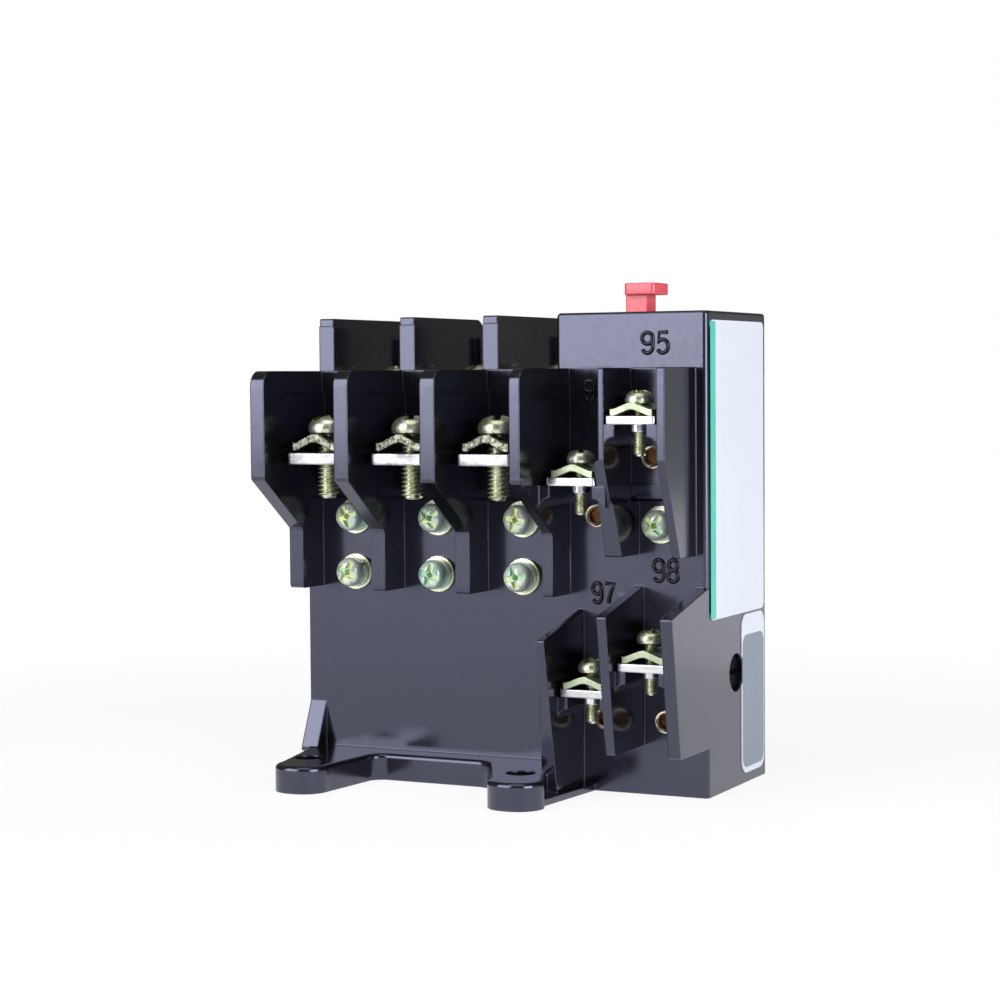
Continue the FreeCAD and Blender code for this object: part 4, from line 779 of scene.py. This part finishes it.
@dataclass
class SaddleSet:
    """The folded saddle washers of one CAD node.

    Attributes:
        node: Name of the CAD node.
        thickness: Sheet thickness in millimetres.
        rise: Height of the fold above the ends.
        lift: Height of the ends above the plate.
        bore: Radius of the hole.
        teeth: Number of pressed grooves on each wing.
        finish: Finish of the washers.
    """

    HALF_FOLD: ClassVar[tuple[tuple[float, float], ...]] = (
        (1.0, 0.06), (0.92, 0.0), (0.8, 0.08), (0.22, 0.86), (0.1, 0.98))
    GROOVE: ClassVar[float] = 0.16  # depth of a groove, as a share of the thickness
    PLAIN: ClassVar[float] = 0.12  # smooth middle, as a share of half the width

    node: str
    thickness: float
    rise: float
    lift: float
    bore: float
    teeth: int
    finish: Finish

    def pattern(self, size: Vector) -> bmesh.types.BMesh:
        """Makes one washer, centred in X and Y and standing on height 0.

        Args:
            size: Extent of the washer's box, in millimetres.

        Returns:
            The washer with its hole.
        """
        half = size.x / 2
        mesh = bmesh.new()
        fold = [*((-x, z) for x, z in self.HALF_FOLD), (0.0, 1.0), *reversed(self.HALF_FOLD)]
        line = [mesh.verts.new((x * half * MM, -size.y / 2 * MM, z * self.rise * MM))
                for x, z in fold]
        edges = [mesh.edges.new(pair) for pair in zip(line, line[1:])]
        rows = self.teeth * 2
        for row in range(rows):
            made = bmesh.ops.extrude_edge_only(mesh, edges=edges)["geom"]
            line = [v for v in made if isinstance(v, bmesh.types.BMVert)]
            edges = [e for e in made if isinstance(e, bmesh.types.BMEdge)]
            bmesh.ops.translate(mesh, vec=(0, size.y / rows * MM, 0), verts=line)
        bmesh.ops.recalc_face_normals(mesh, faces=mesh.faces)
        if sum(f.normal.z for f in mesh.faces) < 0:
            bmesh.ops.reverse_faces(mesh, faces=mesh.faces)
        shell = bmesh.ops.extrude_face_region(mesh, geom=list(mesh.faces))["geom"]
        lifted = [v for v in shell if isinstance(v, bmesh.types.BMVert)]
        bmesh.ops.translate(mesh, vec=(0, 0, self.thickness * MM), verts=lifted)
        pitch = size.y / rows
        for vert in lifted:
            row = round((vert.co.y / MM + size.y / 2) / pitch)
            if row % 2 and abs(vert.co.x) > half * self.PLAIN * MM:
                vert.co.z -= self.GROOVE * self.thickness * MM
        bmesh.ops.recalc_face_normals(mesh, faces=mesh.faces)
        top = size.z + 2
        return carve(mesh, [revolved([(0, -1), (self.bore, -1), (self.bore, top), (0, top)], 32)])

    def build(self, nodes: dict[str, bpy.types.Object]) -> bpy.types.Object:
        """Makes one piece that stands for the node.

        Args:
            nodes: The CAD nodes by name.

        Returns:
            The piece.
        """
        found = islands(nodes[self.node])
        feet = [Vector((item.centre.x, item.centre.y, item.low.z + self.lift * MM))
                for item in found]
        places = [Matrix.Translation(foot) for foot in feet]
        return stand_in(self.node, self.pattern(found[0].size / MM), places, 25, self.finish)


@dataclass
class WasherSet:
    """The washers under the wall screws.

    Attributes:
        node: Name of the CAD node.
        bore: Radius of the hole, in millimetres.
        split: Whether the rings are cut and slightly helical.
        finish: Finish of the washers.
    """

    EDGE: ClassVar[float] = 0.18  # chamfer, as a share of the thickness
    FLAT: ClassVar[float] = 0.72  # wire height of a split ring, as a share of its whole height
    SWEEP: ClassVar[float] = 348.0  # degrees that a split ring goes round
    STEPS: ClassVar[int] = 44

    node: str
    bore: float
    split: bool
    finish: Finish

    def pattern(self, radius: float, thickness: float) -> bmesh.types.BMesh:
        """Makes one washer about Z, standing on height 0.

        Args:
            radius: Its outer radius, in millimetres.
            thickness: Its whole height.

        Returns:
            The washer.
        """
        if self.split:
            mesh = bmesh.new()
            flat = thickness * self.FLAT
            section = [(self.bore, 0), (radius, 0), (radius, flat), (self.bore, flat)]
            rise = (thickness - flat) / self.STEPS
            coil(mesh, section, math.radians(self.SWEEP), rise, self.STEPS)
            return mesh
        edge = thickness * self.EDGE
        return revolved([(self.bore, edge), (self.bore + edge, 0), (radius - edge, 0),
                         (radius, edge), (radius, thickness - edge), (radius - edge, thickness),
                         (self.bore + edge, thickness), (self.bore, thickness - edge)], closed=True)

    def build(self, nodes: dict[str, bpy.types.Object]) -> bpy.types.Object:
        """Makes one piece that stands for the node.

        Args:
            nodes: The CAD nodes by name.

        Returns:
            The piece.
        """
        found = islands(nodes[self.node])
        size = found[0].size / MM
        places = []
        for index, item in enumerate(found):
            foot = item.centre.copy()
            foot.y = item.high.y
            spin = Matrix.Rotation(math.radians(40 + 50 * index), 4, "Z")
            places.append(Matrix.Translation(foot) @ Facing.FRONT.turn() @ spin)
        return stand_in(self.node, self.pattern(size.x / 2, size.y), places, 30, self.finish)


@dataclass
class EyeletSet:
    """Rolled rims and funnels of the hollow rivets.

    Attributes:
        node: Name of the CAD node, which stays.
        bore: Radius of the rivet's bore, in millimetres.
        finish: Finish of the rims.
        recess: Finish of the funnels, dark to paint the shade in the bore.
    """

    LIP: ClassVar[float] = 0.62  # width of the rolled rim, in millimetres

    node: str
    bore: float
    finish: Finish
    recess: Finish

    def pattern(self, radius: float) -> bmesh.types.BMesh:
        """Makes one rim with its funnel about Z, with the rivet's face at height 0.

        Args:
            radius: Radius of the rivet's flange, in millimetres.

        Returns:
            The rim and the funnel, with material 1 on the funnel.
        """
        inner = radius - self.LIP
        rim = revolved([(radius + 0.03, -0.1), (radius + 0.03, 0.1), (radius - 0.06, 0.28),
                        (radius - 0.26, 0.34), (radius - 0.48, 0.24), (inner, 0.1), (inner, -0.1)],
                       closed=True)
        lip, throat = inner + 0.05, self.bore - 0.04
        funnel = revolved([(0, -1.4), (throat, -1.4), (throat, -0.02), (lip, 0.02), (lip, 0.12),
                           (self.bore - 0.1, 0.02), (self.bore - 0.14, -1.2), (0, -1.3)])
        for face in funnel.faces:
            face.material_index = 1
        return joined(rim, funnel)

    def build(self, nodes: dict[str, bpy.types.Object]) -> bpy.types.Object:
        """Makes one piece for all the rivets.

        Args:
            nodes: The CAD nodes by name.

        Returns:
            The piece.
        """
        found = islands(nodes[self.node])
        faces = [Vector((item.centre.x, item.low.y, item.centre.z)) for item in found]
        places = [Matrix.Translation(face) @ Facing.FRONT.turn() for face in faces]
        rim = self.pattern(found[0].size.x / 2 / MM)
        piece = new_object(self.node + "_rims", stamped(rim, places))
        smooth(piece, 30)
        self.finish.dress(piece, self.recess)
        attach(piece, "relay_body")
        return piece


# ---- markings and labels ----------------------------------------------------------
class Digit(Enum):
    """Digits of the terminal numbers."""

    FIVE = "5"
    SIX = "6"
    SEVEN = "7"
    EIGHT = "8"
    NINE = "9"

    @staticmethod
    def arc(centre: tuple[float, float], radii: tuple[float, float], start: float,
            end: float) -> list[Vector]:
        """Places points along an elliptical arc.

        Args:
            centre: Centre in the digit's cell.
            radii: Radii along X and Y.
            start: Angle of the first point, in degrees.
            end: Angle of the last point.

        Returns:
            The points, about one for each 12 degrees.
        """
        count = max(4, round(abs(end - start) / 12))
        turns = [math.radians(start + (end - start) * step / count) for step in range(count + 1)]
        return [Vector((centre[0] + radii[0] * math.cos(t), centre[1] + radii[1] * math.sin(t), 0))
                for t in turns]

    def strokes(self) -> list[list[Vector]]:
        """Gives the centre lines of the digit's strokes.

        Returns:
            The lines, in a cell 0.6 wide and 1 high.
        """
        nine = [self.arc((0.3, 0.69), (0.23, 0.24), 0, 360),
                [Vector((0.53, 0.69, 0)), *self.arc((0.3, 0.33), (0.23, 0.26), 0, -155)]]
        return {
            Digit.FIVE: [[Vector((0.5, 0.93, 0)), Vector((0.15, 0.93, 0)), Vector((0.1, 0.5, 0)),
                          *self.arc((0.29, 0.35), (0.24, 0.28), 125, -150)]],
            Digit.SIX: [[Vector((0.6, 1, 0)) - point for point in line] for line in nine],
            Digit.SEVEN: [[Vector((0.05, 0.93, 0)), Vector((0.54, 0.93, 0)), Vector((0.36, 0.6, 0)),
                           Vector((0.26, 0.3, 0)), Vector((0.22, 0.07, 0))]],
            Digit.EIGHT: [self.arc((0.3, 0.73), (0.2, 0.2), 0, 360),
                          self.arc((0.3, 0.29), (0.23, 0.23), 0, 360)],
            Digit.NINE: nine,
        }[self]


@dataclass
class Numeral:
    """One terminal number on the front wall.

    Attributes:
        text: The number.
        left: Left edge, from the right face, in millimetres.
        right: Right edge, from the right face.
        foot: Lower edge, above the base.
        top: Upper edge.
        stroke: Half the width of the strokes.
    """

    MARGIN: ClassVar[float] = 0.07  # blank at the edge of a digit's cell
    ADVANCE: ClassVar[float] = 0.67  # from one cell to the next
    SPAN: ClassVar[float] = 1.13  # width of the centre lines of both digits
    RISE: ClassVar[float] = 0.86  # height of the centre lines

    text: str
    left: float
    right: float
    foot: float
    top: float
    stroke: float = 0.47

    def build(self, wall: float, side: float) -> bpy.types.Object:
        """Makes the number, slightly proud of the wall.

        Args:
            wall: Place of the wall plane along Y, in metres.
            side: Right face of the body along X, in metres.

        Returns:
            The piece.
        """
        curve = bpy.data.curves.new("numeral_" + self.text, "CURVE")
        curve.dimensions = "3D"
        curve.bevel_depth = self.stroke * MM
        curve.bevel_resolution = 3
        curve.use_fill_caps = True
        tall = self.top - self.foot - 2 * self.stroke
        wide = self.right - self.left - 2 * self.stroke
        for place, figure in enumerate(self.text):
            for line in Digit(figure).strokes():
                spline = curve.splines.new("POLY")
                spline.points.add(len(line) - 1)
                for point, at in zip(spline.points, line):
                    x = (at.x - self.MARGIN + self.ADVANCE * place) / self.SPAN * wide + self.stroke
                    z = (at.y - self.MARGIN) / self.RISE * tall + self.stroke
                    point.co = (x * MM, 0, z * MM, 1)
        holder = linked("numeral_holder", curve)
        data = applied(holder)
        bpy.data.objects.remove(holder)
        foot = Vector((side + self.left * MM, wall, self.foot * MM))
        data.transform(Matrix.Translation(foot))
        data.name = "numeral_" + self.text
        piece = linked(data.name, data)
        smooth(piece, 50)
        NUMERAL.dress(piece)
        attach(piece, "relay_body")
        return piece


@dataclass
class SoftButton:
    """The reset button with a softly rounded head.

    Attributes:
        node: Name of the CAD node.
        body: Body that it rides on.
        head: Thickness of the head, in millimetres.
        radius: Radius of the head's edges.
    """

    node: str
    body: str
    head: float
    radius: float

    def build(self, nodes: dict[str, bpy.types.Object]) -> bpy.types.Object:
        """Makes the piece that stands for the node.

        Args:
            nodes: The CAD nodes by name.

        Returns:
            The piece.
        """
        mesh = merged_copy(nodes[self.node])
        bmesh.ops.dissolve_limit(mesh, angle_limit=math.radians(1), verts=mesh.verts,
                                 edges=mesh.edges)
        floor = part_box(self.node)[1].z - (self.head + NOTCH) * MM
        rounded = [e for e in mesh.edges if e.is_convex
                   and e.calc_face_angle(0.0) > math.radians(30)
                   and all(v.co.z > floor for v in e.verts)]
        bmesh.ops.bevel(mesh, geom=rounded, offset=self.radius * MM, offset_type="OFFSET",
                        affect="EDGES", segments=5, profile=0.5, material=-1, clamp_overlap=True)
        piece = new_object(self.node + "_detail", mesh)
        smooth(piece, 40)
        BUTTON.dress(piece)
        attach(piece, self.body)
        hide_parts(self.node)
        return piece


@dataclass
class WallFoot:
    """Rounded foot of the thick wall behind terminal 95, sizes in millimetres.

    Attributes:
        left: Left end, from the right face of the body.
        right: Right end, from the right face.
        foot: Lower edge, above the base.
        top: Upper edge.
        depth: How far it stands out from the front wall.
        radius: Radius of its lower front edge.
    """

    SUNK: ClassVar[float] = 0.2  # how far it goes into the wall

    left: float
    right: float
    foot: float
    top: float
    depth: float
    radius: float

    def build(self, wall: float, side: float) -> bpy.types.Object:
        """Makes the piece.

        Args:
            wall: Place of the wall plane along Y, in metres.
            side: Right face of the body along X, in metres.

        Returns:
            The piece.
        """
        low = Vector((side / MM + self.left, wall / MM - self.depth, self.foot))
        high = Vector((side / MM + self.right, wall / MM + self.SUNK, self.top))
        mesh = block(low, high)
        front, under = (low.y + NOTCH) * MM, (low.z + NOTCH) * MM
        edge = [e for e in mesh.edges if all(v.co.y < front and v.co.z < under for v in e.verts)]
        bmesh.ops.bevel(mesh, geom=edge, offset=self.radius * MM, offset_type="OFFSET",
                        affect="EDGES", segments=8, profile=0.5, material=-1)
        piece = new_object("housing_wall_foot", mesh)
        smooth(piece, 40)
        PHENOLIC.dress(piece)
        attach(piece, "relay_body")
        return piece


@dataclass
class SideLabel:
    """A film label on the right face, with a coloured patch on it.

    Attributes:
        node: Name of the CAD node.
        rear: How much shorter the film is at its rear edge, in millimetres.
        top: How much shorter it is at its upper edge.
        patch: Patch box as shares of the label: left, right, foot, top.
        patch_corner: Corner radius of the patch.
        patch_finish: Finish of the patch.
    """

    THINNER: ClassVar[float] = 0.03  # the film is this much thinner, so that the patch lies on it

    node: str
    rear: float
    top: float
    patch: tuple[float, float, float, float]
    patch_corner: float
    patch_finish: Finish

    def sheet(self, name: str, low: Vector, high: Vector, corner: float) -> bpy.types.Object:
        """Makes a thin rounded rectangle across X.

        Args:
            name: Name of the piece.
            low: Lowest corner, in metres.
            high: Highest corner.
            corner: Corner radius in millimetres.

        Returns:
            The sheet.
        """
        mesh = bmesh.new()
        bmesh.ops.create_cube(mesh, size=1.0)
        bmesh.ops.scale(mesh, vec=high - low, verts=mesh.verts)
        bmesh.ops.translate(mesh, vec=(low + high) / 2, verts=mesh.verts)
        across = [e for e in mesh.edges if abs(e.verts[0].co.x - e.verts[1].co.x) > SEAM]
        bmesh.ops.bevel(mesh, geom=across, offset=corner * MM, offset_type="OFFSET",
                        affect="EDGES", segments=10, profile=0.5, material=-1)
        return new_object(name, mesh)

    def film(self, nodes: dict[str, bpy.types.Object]) -> bpy.types.Object:
        """Makes the film: the CAD label, a little thinner, and shorter at its rear and top.

        Args:
            nodes: The CAD nodes by name.

        Returns:
            The film, which stands for the node.
        """
        low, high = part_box(self.node)
        mesh = merged_copy(nodes[self.node])
        size = high - low
        short = Vector((1 - self.THINNER * MM / size.x, 1 - self.rear * MM / size.y,
                        1 - self.top * MM / size.z))
        shift = Matrix.Translation(low)
        shrink = shift @ Matrix.Diagonal(short).to_4x4() @ shift.inverted()
        bmesh.ops.transform(mesh, matrix=shrink, verts=mesh.verts)
        piece = new_object(self.node + "_film", mesh)
        LABEL.dress(piece)
        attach(piece, "relay_body")
        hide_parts(self.node)
        return piece

    def build(self, nodes: dict[str, bpy.types.Object]) -> list[bpy.types.Object]:
        """Makes the film and the patch on it.

        Args:
            nodes: The CAD nodes by name.

        Returns:
            The film and the patch.
        """
        low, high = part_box(self.node)
        film = self.film(nodes)
        size = high - low - Vector((0, self.rear * MM, self.top * MM))
        left, right, foot, top = self.patch
        start = Vector((low.x, low.y + left * size.y, low.z + foot * size.z))
        end = Vector((high.x, low.y + right * size.y, low.z + top * size.z))
        piece = self.sheet(self.node + "_patch", start, end, self.patch_corner)
        self.patch_finish.dress(piece)
        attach(piece, "relay_body")
        return [film, piece]


# ---- studio -------------------------------------------------------------------------
@dataclass(frozen=True)
class Viewpoint:
    """Camera of the studio.

    Attributes:
        place: Its place, in metres.
        yaw: Turn about the upright axis, in radians.
        pitch: How far it looks down, in radians.
        roll: Turn about its own axis, in radians.
        lens: Focal length, in millimetres.
    """

    place: tuple[float, float, float] = (0.246006, -0.491534, 0.090717)
    yaw: float = 0.457404
    pitch: float = 0.0507373
    roll: float = -0.00779441
    lens: float = 84.83

    def build(self) -> bpy.types.Object:
        """Creates the camera and makes it the scene's.

        Returns:
            The camera.
        """
        data = bpy.data.cameras.new("camera")
        data.lens = self.lens
        data.sensor_width = 36.0
        data.clip_start = 0.01
        flat = math.cos(self.pitch)
        forward = Vector((-math.sin(self.yaw) * flat, math.cos(self.yaw) * flat,
                          -math.sin(self.pitch)))
        right = Vector((math.cos(self.yaw), math.sin(self.yaw), 0.0))
        up = right.cross(forward)
        cos, sin = math.cos(self.roll), math.sin(self.roll)
        side, top = right * cos + up * sin, up * cos - right * sin
        turn = Matrix((side, top, -forward)).transposed().to_4x4()
        camera = linked("camera", data)
        camera.matrix_world = Matrix.Translation(Vector(self.place)) @ turn
        bpy.context.scene.camera = camera
        return camera


@dataclass(frozen=True)
class Softbox:
    """A rectangular lamp.

    Attributes:
        name: Name of the lamp.
        place: Its centre, in metres.
        aim: The point that it faces.
        size: Width and height in metres.
        level: Radiance of its face.
        tint: Its colour.
    """

    name: str
    place: tuple[float, float, float]
    aim: tuple[float, float, float]
    size: tuple[float, float]
    level: float
    tint: Colour = (1.0, 1.0, 1.0)

    def build(self) -> bpy.types.Object:
        """Creates the lamp.

        Returns:
            The lamp.
        """
        data = bpy.data.lights.new(self.name, "AREA")
        data.shape = "RECTANGLE"
        data.size, data.size_y = self.size
        data.energy = self.level * math.pi * self.size[0] * self.size[1]
        data.color = self.tint
        lamp = linked(self.name, data)
        ahead = Vector(self.aim) - Vector(self.place)
        lamp.rotation_euler = ahead.to_track_quat("-Z", "Y").to_euler()
        lamp.location = self.place
        return lamp


class Studio:
    """White floor and surround, and soft lamps."""

    LAMPS = (
        Softbox("front_left_box", (-0.42, -0.78, 0.40), (0.0, 0.0, 0.09), (0.62, 0.75), 4.0),
        Softbox("top_box", (0.05, -0.25, 0.75), (0.0, 0.0, 0.08), (0.6, 0.5), 1.2),
        Softbox("right_box", (0.75, -0.32, 0.2), (0.05, 0.0, 0.06), (0.5, 0.5), 6.8,
                (0.93, 0.96, 1.0)),
        Softbox("side_card", (0.19, 0.2, 0.08), (0.19, -1.0, 0.08), (0.14, 0.16), 0.3,
                (0.92, 0.95, 1.0)),
    )
    WHITE = (1.0, 1.0, 1.0, 1.0)
    FLOOR_HALF = 1.1  # half the floor's width, in metres
    FLOOR_GAP = 0.0002  # how far the floor lies below the relay, in metres
    FADE = {"From Min": 0.15, "From Max": 0.45, "To Min": 0.88, "To Max": 1.0}

    @staticmethod
    def surround() -> None:
        """Sets the world: plain white to the camera, dim warm light to the rest."""
        world = bpy.data.worlds.new("studio")
        bpy.context.scene.world = world
        world.use_nodes = True
        world.node_tree.nodes.clear()
        tree = Tree(world.node_tree)
        path = tree.add("LightPath").outputs
        seen = tree.add("Background", in_Color=Studio.WHITE, in_Strength=1.0)
        light = tree.add("Background", in_Color=(1.0, 0.98, 0.84, 1.0), in_Strength=0.12)
        mix = tree.feed(tree.add("MixShader"), {
            0: path["Is Camera Ray"], 1: light.outputs["Background"],
            2: seen.outputs["Background"]})
        tree.add("OutputWorld", in_Surface=mix.outputs["Shader"])

    @staticmethod
    def floor() -> bpy.types.Object:
        """Makes the floor: white to the camera and to gloss, with a faint shadow.

        Returns:
            The floor.
        """
        mesh = bmesh.new()
        bmesh.ops.create_grid(mesh, x_segments=1, y_segments=1, size=Studio.FLOOR_HALF)
        bmesh.ops.translate(mesh, vec=(0, 0, -Studio.FLOOR_GAP), verts=mesh.verts)
        floor = new_object("floor", mesh)
        material = bpy.data.materials.new("white floor")
        material.use_nodes = True
        material.node_tree.nodes.clear()
        tree = Tree(material.node_tree)
        path = tree.add("LightPath").outputs
        either = tree.feed(tree.add("Math", operation="MAXIMUM"),
                           {0: path["Is Camera Ray"], 1: path["Is Glossy Ray"]})
        reach = tree.feed(tree.add("VectorMath", operation="LENGTH"),
                          {0: tree.add("TexCoord").outputs["Object"]})
        fade = tree.feed(tree.add("MapRange"), {"Value": reach.outputs["Value"], **Studio.FADE})
        paint = tree.add("BsdfDiffuse", in_Color=(0.16, 0.16, 0.165, 1.0))
        glow = tree.add("Emission", in_Color=Studio.WHITE, in_Strength=fade.outputs["Result"])
        lit = tree.feed(tree.add("AddShader"),
                        {0: paint.outputs["BSDF"], 1: glow.outputs["Emission"]})
        plain = tree.add("BsdfDiffuse", in_Color=(0.75, 0.76, 0.8, 1.0))
        mix = tree.feed(tree.add("MixShader"), {
            0: either.outputs[0], 1: plain.outputs["BSDF"], 2: lit.outputs["Shader"]})
        tree.add("OutputMaterial", in_Surface=mix.outputs["Shader"])
        floor.data.materials.append(material)
        return floor

    def build(self) -> None:
        """Builds the whole studio."""
        self.surround()
        self.floor()
        for lamp in self.LAMPS:
            lamp.build()
        bpy.context.scene.view_settings.view_transform = "Standard"


class Relay:
    """The dressed relay."""

    def __init__(self, nodes: dict[str, bpy.types.Object]) -> None:
        """Keeps the CAD nodes by name."""
        self.nodes = nodes

    def dress_nodes(self) -> None:
        """Gives every CAD node its finish."""
        for name, node in self.nodes.items():
            finish = CAD_FINISHES.get(name)
            for prefix, other in CAD_PREFIXES.items():
                if name.startswith(prefix):
                    finish = other
            if finish:
                finish.dress(node)
                LOG.info("%s: %s", name, finish.name)

    def fasteners(self) -> None:
        """Builds the detailed screws and washers."""
        sets = [
            ScrewSet("load_terminal_screws", 4.15, Facing.UP, Drive.COMBINED, 2.45, 0.95, 1.2,
                     CHROMATE, CHROMATE_SLOT_SHADE, (65, 20, 110), slim=0.93),
            ScrewSet("line_terminal_screws", 4.15, Facing.UP, Drive.COMBINED, 2.45, 0.95, 1.2,
                     CHROMATE, CHROMATE_SLOT_SHADE, (10, 80, 40), slim=0.93, proud=-0.9),
            ScrewSet("aux_terminal_screws", 3.0, Facing.UP, Drive.COMBINED, 1.45, 0.5, 0.8,
                     CHROMATE, CHROMATE_SLOT_SHADE, (30, 75, 0, 50)),
            ScrewSet("wall_screws", 3.4, Facing.FRONT, Drive.COMBINED, 1.98, 0.7, 0.9,
                     CHROMATE_GREEN, CHROMATE_GREEN_SLOT_SHADE, (60, 20, 75, 35, 10, 80, 50), slim=0.88,
                     proud=0.9),
            SaddleSet("load_saddle_washers", 1.75, 1.95, 0.5, 2.7, 7, KNURLED),
            SaddleSet("line_saddle_washers", 1.75, 1.95, 0.5, 2.7, 7, KNURLED),
            SaddleSet("aux_saddle_washers", 1.45, 1.4, 0.0, 1.7, 5, CHROMATE_PALE),
            WasherSet("wall_spring_washers", 2.25, split=True, finish=CHROMATE_GREEN),
            WasherSet("wall_flat_washers", 2.25, split=False, finish=CHROMATE),
            EyeletSet("aux_rivets", 1.7, EYELET, EYELET_BORE_SHADE),
        ]
        for item in sets:
            piece = item.build(self.nodes)
            LOG.info("%s: %d faces", piece.name, len(piece.data.polygons))

    def markings(self) -> None:
        """Builds the terminal numbers, the wall's foot, the button and the labels."""
        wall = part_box("wall_flat_washers")[1].y
        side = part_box("housing")[1].x
        pieces = [item.build(wall, side) for item in (
            Numeral("95", -15.5, -8.5, 95.9, 101.3),
            Numeral("96", -29.4, -22.6, 85.8, 90.9),
            Numeral("98", -13.0, -6.4, 46.4, 52.0),
            Numeral("97", -27.5, -21.4, 41.2, 46.5),
            WallFoot(-16.7, -4.3, 64.2, 68.2, 3.02, 1.5),
        )]
        pieces.append(SoftButton("reset_button", "button", 2.6, 1.0).build(self.nodes))
        for label in (
            SideLabel("rating_label", 0.9, 0.7, (0.0, 0.092, 0.004, 0.996), 0.5, STRIPE),
            SideLabel("side_tag", 0.7, 0.0, (0.03, 0.97, 0.035, 0.87), 2.4, PANEL),
        ):
            pieces += label.build(self.nodes)
        for piece in pieces:
            LOG.info("%s: %d faces", piece.name, len(piece.data.polygons))

    def build(self) -> None:
        """Dresses the relay."""
        self.dress_nodes()
        self.fasteners()
        self.markings()


def main() -> None:
    """Builds the relay and its studio."""
    logging.basicConfig(level=logging.INFO, format="%(message)s")
    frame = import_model()
    Viewpoint().build()
    Studio().build()
    Relay(frame["nodes"]).build()


if __name__ == "__main__":
    main()
